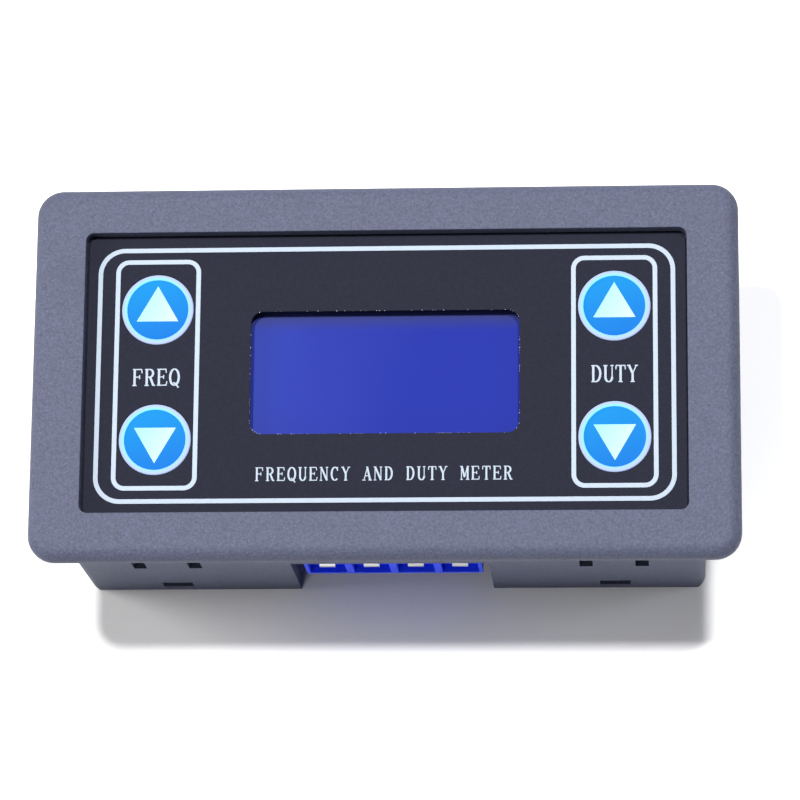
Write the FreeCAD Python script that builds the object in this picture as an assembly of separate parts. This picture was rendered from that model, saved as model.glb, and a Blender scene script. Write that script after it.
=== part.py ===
import FreeCAD, Part
import os

# Panel-mount meter for a square wave's frequency and duty cycle, with four membrane keys.
# Frame: origin at the middle of the rear rim's plane, +X to the display's right, +Y to the
# display's top, +Z out of the display. Every size is in millimetres.

Vector = FreeCAD.Vector

# ---- Case ----
bezel_width = 79.0
bezel_height = 42.8
case_depth = 26.0
flange_thickness = 2.0
flange_overhang_x = 3.9
flange_overhang_y = 1.8
bezel_corner_radius = 3.0
bezel_edge_round = 1.5
body_corner_radius = 1.0
wall = 1.8
front_wall = 2.0
rim_chamfer_across = 0.7
rim_chamfer_along = 2.0

# ---- Overlay in its recess, and the display window ----
recess_margin_x = 5.8
recess_margin_y = 5.3
recess_corner_radius = 0.9
recess_depth = 1.9
recess_lip_round = 0.1
overlay_thickness = 0.4
overlay_clearance = 0.1
window_height = 14.12
window_corner_radius = 1.4
window_rise = 0.11
aperture_margin = 0.4

# ---- Keys ----
key_inset = 8.1
key_row_height = 7.5
key_radius = 4.05
key_clearance = 0.06
key_well_clearance = 0.55
key_to_window = 10.55

# ---- Display stack, from the front wall back to the board ----
display_wall = 0.8
gasket_thickness = 0.2
polariser_thickness = 0.2
glass_thickness = 1.1
backlight_thickness = 4.9
glass_border_x = 2.95
polariser_border_x = 2.4
gasket_border_y = 1.4
polariser_border_y = 1.5
front_glass_border_y = 1.6
rear_glass_border_y = 2.6
display_pin_count = 12
display_pin_pitch = 2.54
display_pin_width = 0.5
display_pin_thickness = 0.25
display_pin_foot = 0.75
display_rib_clearance = 0.3
display_rib_thickness = 1.0
display_rib_length = 8.0

# ---- Circuit board ----
board_thickness = 1.6
board_clearance = 0.3
board_corner_radius = 0.8
lead_hole_clearance = 0.12
lead_tail = 1.4
post_side = 3.0

# ---- Snap beads that hold the board, and the slots beside them ----
bead_inset = 10.3
bead_width = 3.5
bead_reach = 0.7
bead_height = 1.1
relief_slot_spacing = 3.15
relief_slot_width = 1.5
relief_slot_behind_board = 1.8
relief_slot_past_board = 0.6
rim_slot_bottom = 1.8
rim_slot_height = 2.2

# ---- Tactile switches ----
switch_side = 6.0
switch_base_height = 3.2
switch_cover_thickness = 0.3
switch_well_radius = 2.55
switch_well_depth = 1.6
rivet_radius = 0.4
rivet_offset = 2.4
rivet_height = 0.2
rivet_clearance = 0.05
stem_radius = 1.75
stem_clearance = 0.1
stem_flange_clearance = 0.15
stem_flange_thickness = 0.65
stem_flange_gap = 0.05
dome_radius = 2.3
dome_top_radius = 0.9
dome_height = 0.55
dome_thickness = 0.12
nub_radius = 0.8
switch_leg_width = 0.7
switch_leg_thickness = 0.3
switch_leg_spacing = 4.5
switch_leg_rise = 1.0

# ---- Screw terminal ----
pole_count = 4
pole_pitch = 5.08
terminal_depth = 8.2
terminal_height = 10.0
terminal_setback = 1.0
notch_clearance_x = 1.04
notch_clearance_z = 0.3
pole_divider = 0.85
mouth_depth = 0.9
mouth_floor = 0.6
chamber_margin = 0.4
screw_offset = 3.0
screw_head_radius = 1.75
screw_head_height = 1.1
screw_head_recess = 0.2
screw_slot_width = 0.6
screw_slot_depth = 0.6
screw_shank_radius = 1.25
screw_bore_clearance = 0.1
thread_clearance = 0.05
screw_shoulder = 0.4
clamp_side = 4.0
clamp_top = 0.9
clamp_opening = 3.5
clamp_bottom = 0.7
clamp_wall = 0.6
clamp_travel = 1.25
clamp_gap = 0.2
clamp_tab_width = 1.8
clamp_tab_thickness = 0.5
clamp_tab_reach = 0.8
contact_width = 2.4
contact_thickness = 0.6
contact_gap = 0.1
contact_overhang = 1.0
contact_pin_side = 0.8
contact_slot_clearance = 0.2
pin_tail = 1.5

# ---- Side latches that hold the meter in its panel ----
latch_width = 7.4
latch_thickness = 1.4
latch_side_clearance = 0.3
latch_root_height = 5.0
latch_root_clearance = 0.05
latch_grip = 3.5
latch_end_clearance = 0.5
latch_crest_drop = 2.0
latch_crest = 1.6
latch_tip_reach = 0.5
latch_ramp_start = 3.0
latch_swing_room = 1.9
latch_notch_clearance = 0.6

# ---- Parts on the back of the board ----
chip_length = 12.8
chip_width = 7.5
chip_height = 2.3
chip_standoff = 0.15
chip_leads_per_side = 10
chip_lead_pitch = 1.27
chip_lead_reach = 1.4
chip_lead_width = 0.4
chip_lead_thickness = 0.2
chip_lead_embedded = 0.3
driver_length = 4.9
driver_width = 3.9
driver_height = 1.5
driver_leads_per_side = 4
driver_lead_reach = 1.05
crystal_length = 11.0
crystal_width = 4.7
crystal_height = 3.5
crystal_end_flat = 0.1
capacitor_radius = 3.15
capacitor_height = 5.4
capacitor_base_side = 6.6
capacitor_base_height = 0.8
regulator_length = 4.5
regulator_width = 2.5
regulator_height = 1.5
regulator_lead_reach = 1.0
diode_length = 4.3
diode_width = 2.6
diode_height = 2.1
diode_lead_reach = 0.35
tab_thickness = 0.3
chip_part_length = 2.0
chip_part_width = 1.25
resistor_height = 0.5
ceramic_height = 0.9
resistors_per_side = 4
ceramic_count = 4
chip_part_spacing = 2.2
ceramic_spacing = 3.2

# ---- Where they sit: across the board, and up the board from the terminal's back ----
controller_place = (-4.0, 8.15)
driver_place = (-14.0, 10.9)
crystal_place = (7.0, 8.15)
capacitor_place = (14.0, 9.6)
regulator_place = (13.0, 3.5)
diode_place = (-12.6, 2.2)
ceramic_row_place = (-1.0, 1.6)

# How far a cutting shape runs past the face it opens
past = 1.0

# ---- Levels and outlines that follow from the sizes above ----
seat_z = case_depth - flange_thickness
recess_floor_z = case_depth - recess_depth
overlay_top_z = recess_floor_z + overlay_thickness
front_wall_back_z = recess_floor_z - front_wall
body_width = bezel_width - 2 * flange_overhang_x
body_height = bezel_height - 2 * flange_overhang_y
cavity_width = body_width - 2 * wall
cavity_height = body_height - 2 * wall
recess_width = bezel_width - 2 * recess_margin_x
recess_height = bezel_height - 2 * recess_margin_y
key_x = recess_width / 2 - key_inset
window_width = 2 * (key_x - key_to_window)

pocket_floor_z = recess_floor_z - display_wall
polariser_front_z = pocket_floor_z - gasket_thickness
front_glass_front_z = polariser_front_z - polariser_thickness
rear_glass_front_z = front_glass_front_z - glass_thickness
rear_polariser_front_z = rear_glass_front_z - glass_thickness
backlight_front_z = rear_polariser_front_z - polariser_thickness
board_front_z = backlight_front_z - backlight_thickness
board_back_z = board_front_z - board_thickness
board_width = cavity_width - 2 * board_clearance
board_height = cavity_height - 2 * board_clearance
rear_glass_half_height = window_height / 2 + rear_glass_border_y
display_pin_y = window_rise + rear_glass_half_height + display_pin_thickness / 2

terminal_width = pole_count * pole_pitch
terminal_front_y = -body_height / 2 + terminal_setback
terminal_back_y = terminal_front_y + terminal_depth
terminal_rear_z = board_back_z - terminal_height
screw_y = terminal_front_y + screw_offset
screw_head_back_z = terminal_rear_z + screw_head_recess
screw_seat_z = screw_head_back_z + screw_head_height
chamber_rear_z = screw_seat_z + screw_shoulder
chamber_front_z = board_back_z - chamber_margin
clamp_back_z = chamber_rear_z + clamp_gap + clamp_travel
contact_back_z = clamp_back_z + clamp_travel + clamp_top + contact_gap
contact_end_y = screw_y + clamp_side / 2 + clamp_gap + contact_overhang
contact_pin_y = contact_end_y - contact_pin_side / 2

bead_x = body_width / 2 - bead_inset
latch_tip_z = seat_z - latch_grip
latch_root_x = body_width / 2 - latch_thickness / 2

KEYS = {"freq_up": (-1, 1), "freq_down": (-1, -1), "duty_up": (1, 1), "duty_down": (1, -1)}
SIDES = {"left": -1, "right": 1}


def block(width, height, z0, z1, x=0.0, y=0.0):
    """A box centred on x, y that runs from z0 to z1."""
    corner = Vector(x - width / 2, y - height / 2, z0)
    return Part.makeBox(width, height, z1 - z0, corner)


def span(x0, x1, y0, y1, z0, z1):
    """A box between the given limits, in any order."""
    corner = Vector(min(x0, x1), min(y0, y1), min(z0, z1))
    return Part.makeBox(abs(x1 - x0), abs(y1 - y0), abs(z1 - z0), corner)


def rounded_block(width, height, radius, z0, z1, x=0.0, y=0.0):
    """A box with its four upright edges rounded."""
    plain = block(width, height, z0, z1, x, y)
    upright = [edge for edge in plain.Edges if edge.BoundBox.ZLength > (z1 - z0) / 2]
    return plain.makeFillet(radius, upright)


def rod(radius, z0, z1, x=0.0, y=0.0):
    """An upright round bar."""
    return Part.makeCylinder(radius, z1 - z0, Vector(x, y, z0))


def prism(points, direction):
    """A flat outline pushed along a direction."""
    outline = Part.makePolygon([*points, points[0]])
    return Part.Face(outline).extrude(direction)


def edges_at(shape, level):
    """The edges of a shape that lie wholly in the plane z = level."""
    return [
        edge
        for edge in shape.Edges
        if abs(edge.BoundBox.ZMin - level) < 1e-6 and abs(edge.BoundBox.ZMax - level) < 1e-6
    ]


def bezel():
    """Front plate with rounded corners and a soft front edge."""
    plate = rounded_block(bezel_width, bezel_height, bezel_corner_radius, seat_z, case_depth)
    round_radius = min(bezel_edge_round, 0.8 * flange_thickness)
    return plate.makeFillet(round_radius, edges_at(plate, case_depth))


def wall_slots():
    """Cuts through the long walls: relief slots beside each snap bead, and one slot near the rim."""
    cuts = []
    low = board_back_z - relief_slot_behind_board
    high = board_front_z + relief_slot_past_board
    for side_y in (-1, 1):
        wall_y = side_y * (body_height / 2 - wall / 2)
        for side_x in (-1, 1):
            centre = side_x * bead_x
            for offset in (-relief_slot_spacing, relief_slot_spacing):
                cuts.append(block(relief_slot_width, 2 * wall, low, high, centre + offset, wall_y))
            rim_slot_top = rim_slot_bottom + rim_slot_height
            cuts.append(block(bead_width, 2 * wall, rim_slot_bottom, rim_slot_top, centre, wall_y))
    return cuts


def rim_chamfers():
    """Wedges cut off the short walls' outer edges at the rim, so the body finds its panel hole."""
    cuts = []
    for side in (-1, 1):
        outer = side * body_width / 2
        corner = Vector(outer, -bezel_height / 2, 0)
        across = Vector(outer - side * rim_chamfer_across, -bezel_height / 2, 0)
        along = Vector(outer, -bezel_height / 2, rim_chamfer_along)
        cuts.append(prism([corner, across, along], Vector(0, bezel_height, 0)))
    return cuts


def latch_windows():
    """The openings in the short walls that the latches swing through."""
    cuts = []
    width = latch_width + 2 * latch_side_clearance
    top = latch_tip_z + latch_end_clearance
    seat_radius = latch_thickness / 2 + latch_root_clearance
    for side in (-1, 1):
        middle = side * (body_width / 2 - wall / 2)
        cuts.append(block(2 * wall, width, latch_root_height, top, middle))
        start = Vector(side * latch_root_x, -width / 2, latch_root_height)
        cuts.append(Part.makeCylinder(seat_radius, width, start, Vector(0, 1, 0)))
    return cuts


def snap_beads():
    """Ramped beads inside the long walls; the board clicks past them and rests on their flat tops."""
    beads = []
    for side_x in (-1, 1):
        for side_y in (-1, 1):
            start_x = side_x * bead_x - bead_width / 2
            inner = side_y * cavity_height / 2
            wall_foot = Vector(start_x, inner, board_back_z - bead_height)
            wall_top = Vector(start_x, inner, board_back_z)
            nose = Vector(start_x, inner - side_y * bead_reach, board_back_z)
            beads.append(prism([wall_foot, wall_top, nose], Vector(bead_width, 0, 0)))
    return beads


def board_posts():
    """Corner posts that stop the board at its distance behind the front wall."""
    posts = []
    for side_x in (-1, 1):
        for side_y in (-1, 1):
            x = side_x * (cavity_width - post_side) / 2
            y = side_y * (cavity_height - post_side) / 2
            posts.append(block(post_side, post_side, board_front_z, front_wall_back_z, x, y))
    return posts


def display_ribs():
    """Ribs behind the front wall that keep the display glass centred."""
    ribs = []
    glass_half = window_width / 2 + glass_border_x
    for side in (-1, 1):
        x = side * (glass_half + display_rib_clearance + display_rib_thickness / 2)
        low = rear_polariser_front_z
        ribs.append(
            block(display_rib_thickness, display_rib_length, low, front_wall_back_z, x, window_rise)
        )
    return ribs


def recess_lip(case):
    """The edges where the recess opens in the bezel's face."""
    lip = []
    for edge in edges_at(case, case_depth):
        centre = edge.BoundBox.Center
        within_x = abs(centre.x) < recess_width / 2 + recess_lip_round
        within_y = abs(centre.y) < recess_height / 2 + recess_lip_round
        if within_x and within_y:
            lip.append(edge)
    return lip


def front_case():
    """Bezel and body as one moulding, open at the back."""
    body = rounded_block(body_width, body_height, body_corner_radius, 0, seat_z)
    case = bezel().fuse(body)
    cuts = [block(cavity_width, cavity_height, -past, front_wall_back_z)]
    cuts.append(
        rounded_block(recess_width, recess_height, recess_corner_radius, recess_floor_z, case_depth + past)
    )
    aperture_width = window_width + 2 * aperture_margin
    aperture_height = window_height + 2 * aperture_margin
    aperture_radius = window_corner_radius + aperture_margin
    cuts.append(
        rounded_block(
            aperture_width, aperture_height, aperture_radius,
            front_wall_back_z - past, recess_floor_z + past, 0, window_rise,
        )
    )
    cuts.append(display_pocket())
    for side_x, side_y in KEYS.values():
        well_radius = key_radius + key_well_clearance
        x, y = side_x * key_x, side_y * key_row_height
        cuts.append(rod(well_radius, front_wall_back_z - past, recess_floor_z + past, x, y))
    notch_half = terminal_width / 2 + notch_clearance_x
    notch_top = board_back_z + notch_clearance_z
    notch_y = -body_height / 2 + wall / 2
    cuts.append(block(2 * notch_half, 2 * wall, -past, notch_top, 0, notch_y))
    cuts += wall_slots() + rim_chamfers() + latch_windows()
    case = case.cut(cuts)
    case = case.multiFuse(snap_beads() + board_posts() + display_ribs()).removeSplitter()
    return case.makeFillet(recess_lip_round, recess_lip(case))


def front_overlay():
    """Printed sheet in the recess, with the display window and a gap round each key."""
    width = recess_width - 2 * overlay_clearance
    height = recess_height - 2 * overlay_clearance
    radius = recess_corner_radius - overlay_clearance
    sheet = rounded_block(width, height, radius, recess_floor_z, overlay_top_z)
    below, above = recess_floor_z - past, overlay_top_z + past
    cuts = [
        rounded_block(
            window_width, window_height, window_corner_radius, below, above, 0, window_rise
        )
    ]
    for side_x, side_y in KEYS.values():
        x, y = side_x * key_x, side_y * key_row_height
        cuts.append(rod(key_radius + key_clearance, below, above, x, y))
    return sheet.cut(cuts)


def key_cap(x, y):
    """The part of the printed sheet that goes down with the key."""
    return rod(key_radius, recess_floor_z, overlay_top_z, x, y)


def switch_stem(x, y):
    """Plunger of a tactile switch, held under its cover by a flange."""
    well_top = board_front_z + switch_base_height
    flange_top = well_top - stem_flange_gap
    flange_bottom = flange_top - stem_flange_thickness
    flange_radius = switch_well_radius - stem_flange_clearance
    dome_top = well_top - switch_well_depth + dome_height
    shaft = rod(stem_radius, flange_bottom, recess_floor_z, x, y)
    flange = rod(flange_radius, flange_bottom, flange_top, x, y)
    nub = rod(nub_radius, dome_top, flange_bottom, x, y)
    return shaft.fuse([flange, nub]).removeSplitter()


def rivets(x, y, radius, z0, z1):
    """The four corner rivets of a switch, as bars."""
    corners = [(sx * rivet_offset, sy * rivet_offset) for sx in (-1, 1) for sy in (-1, 1)]
    return [rod(radius, z0, z1, x + dx, y + dy) for dx, dy in corners]


def switch_base(x, y):
    """Moulded base with a round well for the dome, and rivets that hold the cover."""
    top = board_front_z + switch_base_height
    body = block(switch_side, switch_side, board_front_z, top, x, y)
    well = rod(switch_well_radius, top - switch_well_depth, top + past, x, y)
    rivet_bottom = top - rivet_radius
    rivet_top = top + switch_cover_thickness + rivet_height
    studs = rivets(x, y, rivet_radius, rivet_bottom, rivet_top)
    return body.cut(well).fuse(studs).removeSplitter()


def switch_cover(x, y):
    """Pressed plate over the base, bored for the stem and the rivets."""
    bottom = board_front_z + switch_base_height
    top = bottom + switch_cover_thickness
    plate = block(switch_side, switch_side, bottom, top, x, y)
    holes = [rod(stem_radius + stem_clearance, bottom - past, top + past, x, y)]
    holes += rivets(x, y, rivet_radius + rivet_clearance, bottom - past, top + past)
    return plate.cut(holes)


def switch_dome(x, y):
    """Snap dome under the stem, a thin shell open underneath."""
    bottom = board_front_z + switch_base_height - switch_well_depth
    centre = Vector(x, y, bottom)
    outer = Part.makeCone(dome_radius, dome_top_radius, dome_height, centre)
    inner = Part.makeCone(
        dome_radius - dome_thickness, dome_top_radius - dome_thickness,
        dome_height - dome_thickness, centre,
    )
    return outer.cut(inner)


def switch_leg_places(x, y):
    """Centre of each of a switch's four legs."""
    reach = (switch_side + switch_leg_thickness) / 2
    half = switch_leg_spacing / 2
    return [(x + sx * reach, y + sy * half) for sx in (-1, 1) for sy in (-1, 1)]


def switch_legs(x, y):
    """Four flat legs against the base's sides, through the board and out at its back."""
    top = board_front_z + switch_leg_rise
    bottom = board_back_z - lead_tail
    legs = [
        block(switch_leg_thickness, switch_leg_width, bottom, top, leg_x, leg_y)
        for leg_x, leg_y in switch_leg_places(x, y)
    ]
    return Part.makeCompound(legs)


def display_pocket():
    """Pocket in the back of the front wall that brings the display close to its window."""
    half_width = window_width / 2 + glass_border_x + display_rib_clearance
    low = window_rise - rear_glass_half_height - display_rib_clearance
    high = display_pin_y + display_pin_thickness / 2 + display_rib_clearance
    return span(-half_width, half_width, low, high, front_wall_back_z - past, pocket_floor_z)


def lcd_gasket():
    """Foam frame pressed between the pocket's floor and the display's front."""
    height = window_height + 2 * gasket_border_y
    width = window_width + 2 * polariser_border_x
    frame = block(width, height, polariser_front_z, pocket_floor_z, 0, window_rise)
    hole_width = window_width + 2 * aperture_margin
    hole_height = window_height + 2 * aperture_margin
    hole = block(hole_width, hole_height, polariser_front_z - past, pocket_floor_z + past, 0, window_rise)
    return frame.cut(hole)


def display_layer(front_z, thickness, border_x, border_y):
    """One flat layer of the display, larger than the window by its borders."""
    width = window_width + 2 * border_x
    height = window_height + 2 * border_y
    return block(width, height, front_z - thickness, front_z, 0, window_rise)


def lcd_backlight():
    """Light box under the glass, as wide and high as the front glass."""
    return display_layer(
        backlight_front_z, backlight_thickness, glass_border_x, front_glass_border_y
    )


def display_pin_places():
    """Across-the-board place of each display pin."""
    middle = (display_pin_count - 1) / 2
    return [(index - middle) * display_pin_pitch for index in range(display_pin_count)]


def lcd_pins():
    """Row of clip-on pins along the glass's top ledge, down through the board."""
    pins = []
    outer_y = display_pin_y + display_pin_thickness / 2
    foot_start_y = outer_y - display_pin_thickness - display_pin_foot
    foot_top = rear_glass_front_z + display_pin_thickness
    for x in display_pin_places():
        x0, x1 = x - display_pin_width / 2, x + display_pin_width / 2
        leg = span(x0, x1, outer_y - display_pin_thickness, outer_y, board_back_z - lead_tail, foot_top)
        foot = span(x0, x1, foot_start_y, outer_y, rear_glass_front_z, foot_top)
        pins.append(leg.fuse(foot).removeSplitter())
    return Part.makeCompound(pins)


def pole_places():
    """Centre of each terminal pole across the board."""
    middle = (pole_count - 1) / 2
    return [(index - middle) * pole_pitch for index in range(pole_count)]


def lead_hole(width, thickness, x, y):
    """A board hole that clears a flat lead by the lead-hole clearance."""
    radius = (width**2 + thickness**2) ** 0.5 / 2 + lead_hole_clearance
    return rod(radius, board_back_z - past, board_front_z + past, x, y)


def circuit_board():
    """Bare board with its lead holes, and a notch at each short edge for the latch's swing."""
    board = rounded_block(board_width, board_height, board_corner_radius, board_back_z, board_front_z)
    cuts = []
    for side_x, side_y in KEYS.values():
        for x, y in switch_leg_places(side_x * key_x, side_y * key_row_height):
            cuts.append(lead_hole(switch_leg_width, switch_leg_thickness, x, y))
    for x in display_pin_places():
        cuts.append(lead_hole(display_pin_width, display_pin_thickness, x, display_pin_y))
    for x in pole_places():
        cuts.append(lead_hole(contact_pin_side, contact_pin_side, x, contact_pin_y))
    notch_width = latch_width + 2 * latch_side_clearance + 2 * latch_notch_clearance
    for side in (-1, 1):
        edge = side * board_width / 2
        inner = side * (cavity_width / 2 - latch_swing_room)
        half = notch_width / 2
        cuts.append(span(edge + side, inner, -half, half, board_back_z - past, board_front_z + past))
    return board.cut(cuts)


def terminal_housing():
    """Moulded block: an open mouth, a clamp chamber, a screw bore and a contact slot per pole."""
    half = terminal_width / 2
    housing = span(-half, half, terminal_front_y, terminal_back_y, terminal_rear_z, board_back_z)
    mouth_half = (pole_pitch - pole_divider) / 2
    chamber_half = clamp_side / 2 + clamp_gap / 2
    mouth_back_y = terminal_front_y + mouth_depth
    chamber_back_y = screw_y + clamp_side / 2 + clamp_gap
    slot_half = contact_width / 2 + contact_slot_clearance
    bore_radius = screw_head_radius + screw_bore_clearance
    shank_hole = screw_shank_radius + screw_bore_clearance
    cuts = []
    for x in pole_places():
        cuts += [
            span(
                x - mouth_half, x + mouth_half, terminal_front_y - past, mouth_back_y,
                terminal_rear_z + mouth_floor, chamber_front_z,
            ),
            span(
                x - chamber_half, x + chamber_half, mouth_back_y - past / 2, chamber_back_y,
                chamber_rear_z, chamber_front_z,
            ),
            span(
                x - slot_half, x + slot_half, chamber_back_y - past / 2, contact_end_y,
                contact_back_z - contact_gap, board_back_z + past,
            ),
            rod(bore_radius, terminal_rear_z - past, screw_seat_z, x, screw_y),
            rod(shank_hole, screw_seat_z - past, chamber_rear_z + past, x, screw_y),
        ]
    return housing.cut(cuts)


def terminal_screw(x):
    """Slotted screw whose head turns on the shoulder and whose tip bears on the contact."""
    head = rod(screw_head_radius, screw_head_back_z, screw_seat_z, x, screw_y)
    shank = rod(screw_shank_radius, screw_seat_z, contact_back_z, x, screw_y)
    slot = block(
        screw_slot_width, 3 * screw_head_radius,
        screw_head_back_z - past, screw_head_back_z + screw_slot_depth, x, screw_y,
    )
    return head.fuse(shank).cut(slot).removeSplitter()


def wire_clamp(x):
    """Square ring that the screw draws back against the contact, with a tab at the mouth."""
    top_z = clamp_back_z
    opening_z = top_z + clamp_top
    floor_z = opening_z + clamp_opening
    ring = block(clamp_side, clamp_side, top_z, floor_z + clamp_bottom, x, screw_y)
    opening_width = clamp_side - 2 * clamp_wall
    opening = block(opening_width, 2 * clamp_side, opening_z, floor_z, x, screw_y)
    thread = rod(screw_shank_radius + thread_clearance, top_z - past, opening_z + past, x, screw_y)
    front = screw_y - clamp_side / 2
    tab_half = clamp_tab_width / 2
    tab_end_y = front - clamp_tab_reach
    tab_bottom = top_z + clamp_tab_thickness
    tab = span(x - tab_half, x + tab_half, tab_end_y, front, top_z, tab_bottom)
    return ring.fuse(tab).cut([opening, thread]).removeSplitter()


def terminal_pin(x):
    """Contact bar that runs through the clamp, turns down and ends in a board pin."""
    half = contact_width / 2
    bar_front_y = screw_y - clamp_side / 2
    bar_front_z = contact_back_z + contact_thickness
    bar = span(x - half, x + half, bar_front_y, contact_end_y, contact_back_z, bar_front_z)
    pin_half = contact_pin_side / 2
    pin_back_y = contact_end_y - contact_pin_side
    pin_top = board_front_z + pin_tail
    pin = span(x - pin_half, x + pin_half, pin_back_y, contact_end_y, contact_back_z, pin_top)
    return bar.fuse(pin).removeSplitter()


def panel_latch(side):
    """Sprung tongue in a short wall, with a ramp, a crest and a tip that bears on the panel."""
    outer = side * body_width / 2
    inner = outer - side * latch_thickness
    crest_z = latch_tip_z - latch_crest_drop
    half = latch_width / 2
    outline = [
        (inner, latch_root_height),
        (outer, latch_root_height),
        (outer, latch_root_height + latch_ramp_start),
        (outer + side * latch_crest, crest_z),
        (outer + side * latch_tip_reach, latch_tip_z),
        (inner, latch_tip_z),
    ]
    tongue = prism([Vector(x, -half, z) for x, z in outline], Vector(0, latch_width, 0))
    root_start = Vector(side * latch_root_x, -half, latch_root_height)
    root = Part.makeCylinder(latch_thickness / 2, latch_width, root_start, Vector(0, 1, 0))
    return tongue.fuse(root).removeSplitter()


def on_back(height):
    """Rear and front levels of a part of the given height on the back of the board."""
    return board_back_z - height, board_back_z


def on_board(place):
    """Across and up-the-board position of a place given from the terminal's back."""
    across, up = place
    return across, terminal_back_y + up


def leaded_package(length, width, height, per_side, reach, x, y):
    """Moulded chip with a row of flat leads along each long side."""
    low, high = on_back(height)
    body = block(length, width, low, high - chip_standoff, x, y)
    shoulder_z = board_back_z - height / 2
    shoulder_low = shoulder_z - chip_lead_thickness / 2
    shoulder_high = shoulder_z + chip_lead_thickness / 2
    leads = []
    for index in range(per_side):
        lead_x = x + (index - (per_side - 1) / 2) * chip_lead_pitch
        x0, x1 = lead_x - chip_lead_width / 2, lead_x + chip_lead_width / 2
        for side in (-1, 1):
            inner = y + side * (width / 2 - chip_lead_embedded)
            outer = y + side * (width / 2 + reach)
            foot = y + side * (width / 2 + reach / 2)
            heel = foot - side * chip_lead_thickness
            leads.append(span(x0, x1, inner, foot, shoulder_low, shoulder_high))
            leads.append(span(x0, x1, heel, foot, shoulder_z, high))
            leads.append(span(x0, x1, foot, outer, high - chip_lead_thickness, high))
    return body.multiFuse(leads).removeSplitter()


def microcontroller():
    x, y = on_board(controller_place)
    return leaded_package(
        chip_length, chip_width, chip_height, chip_leads_per_side, chip_lead_reach, x, y
    )


def output_transistor():
    x, y = on_board(driver_place)
    return leaded_package(
        driver_length, driver_width, driver_height, driver_leads_per_side, driver_lead_reach, x, y
    )


def crystal():
    """Timing crystal in a can with round ends, lying on the board."""
    x, y = on_board(crystal_place)
    low, high = on_back(crystal_height)
    radius = (crystal_width - crystal_end_flat) / 2
    return rounded_block(crystal_width, crystal_length, radius, low, high, x, y)


def electrolytic_capacitor():
    """Round can on a square foot."""
    x, y = on_board(capacitor_place)
    foot_z = board_back_z - capacitor_base_height
    foot = block(capacitor_base_side, capacitor_base_side, foot_z, board_back_z, x, y)
    return foot.fuse(rod(capacitor_radius, board_back_z - capacitor_height, foot_z, x, y))


def tabbed_part(length, width, height, reach, x, y):
    """Moulded part with one flat tab at each end."""
    low, high = on_back(height)
    body = block(length, width, low, high - chip_standoff, x, y)
    tabs = block(length + 2 * reach, width / 2, high - tab_thickness, high, x, y)
    return body.fuse(tabs).removeSplitter()


def voltage_regulator():
    x, y = on_board(regulator_place)
    return tabbed_part(
        regulator_width, regulator_length, regulator_height, regulator_lead_reach, x, y
    )


def reverse_diode():
    x, y = on_board(diode_place)
    return tabbed_part(diode_length, diode_width, diode_height, diode_lead_reach, x, y)


def chip_resistors():
    """Two columns of chip resistors, one between each pair of switches."""
    low, high = on_back(resistor_height)
    middle = (resistors_per_side - 1) / 2
    chips = []
    for side in (-1, 1):
        for index in range(resistors_per_side):
            y = (index - middle) * chip_part_spacing
            chips.append(block(chip_part_length, chip_part_width, low, high, side * key_x, y))
    return Part.makeCompound(chips)


def chip_capacitors():
    """Row of chip capacitors between the controller and the terminal block."""
    low, high = on_back(ceramic_height)
    middle = (ceramic_count - 1) / 2
    row_x, row_y = on_board(ceramic_row_place)
    chips = []
    for index in range(ceramic_count):
        x = row_x + (index - middle) * ceramic_spacing
        chips.append(block(chip_part_length, chip_part_width, low, high, x, row_y))
    return Part.makeCompound(chips)


def display_stack():
    """Every layer between the front wall and the board."""
    return {
        "lcd_gasket": lcd_gasket(),
        "lcd_front_polariser": display_layer(
            polariser_front_z, polariser_thickness, polariser_border_x, polariser_border_y
        ),
        "lcd_front_glass": display_layer(
            front_glass_front_z, glass_thickness, glass_border_x, front_glass_border_y
        ),
        "lcd_rear_glass": display_layer(
            rear_glass_front_z, glass_thickness, glass_border_x, rear_glass_border_y
        ),
        "lcd_rear_polariser": display_layer(
            rear_polariser_front_z, polariser_thickness, polariser_border_x, polariser_border_y
        ),
        "lcd_backlight": lcd_backlight(),
        "lcd_pins": lcd_pins(),
    }


def key_pieces():
    """The membrane disc and the tactile switch of each key."""
    makers = {
        "key_cap": key_cap,
        "switch_stem": switch_stem,
        "switch_base": switch_base,
        "switch_cover": switch_cover,
        "switch_dome": switch_dome,
        "switch_legs": switch_legs,
    }
    return {
        f"{piece}_{key}": maker(side_x * key_x, side_y * key_row_height)
        for key, (side_x, side_y) in KEYS.items()
        for piece, maker in makers.items()
    }


def terminal_pieces():
    """Housing, and the screw, clamp and contact of each pole."""
    pieces = {"terminal_housing": terminal_housing()}
    for number, x in enumerate(pole_places(), start=1):
        pieces[f"terminal_screw_{number}"] = terminal_screw(x)
        pieces[f"wire_clamp_{number}"] = wire_clamp(x)
        pieces[f"terminal_pin_{number}"] = terminal_pin(x)
    return pieces


def board_pieces():
    """The bare board and the parts on its back."""
    return {
        "circuit_board": circuit_board(),
        "microcontroller": microcontroller(),
        "output_transistor": output_transistor(),
        "crystal": crystal(),
        "electrolytic_capacitor": electrolytic_capacitor(),
        "voltage_regulator": voltage_regulator(),
        "reverse_diode": reverse_diode(),
        "chip_resistors": chip_resistors(),
        "chip_capacitors": chip_capacitors(),
    }


def main():
    pieces = {"front_case": front_case(), "front_overlay": front_overlay()}
    pieces.update(display_stack())
    pieces.update(key_pieces())
    pieces.update(terminal_pieces())
    pieces.update(board_pieces())
    for name, side in SIDES.items():
        pieces[f"panel_latch_{name}"] = panel_latch(side)
    os.makedirs("parts", exist_ok=True)
    for node, shape in pieces.items():
        shape.exportStep(f"parts/{node}.step")


main()
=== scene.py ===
import math

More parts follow.
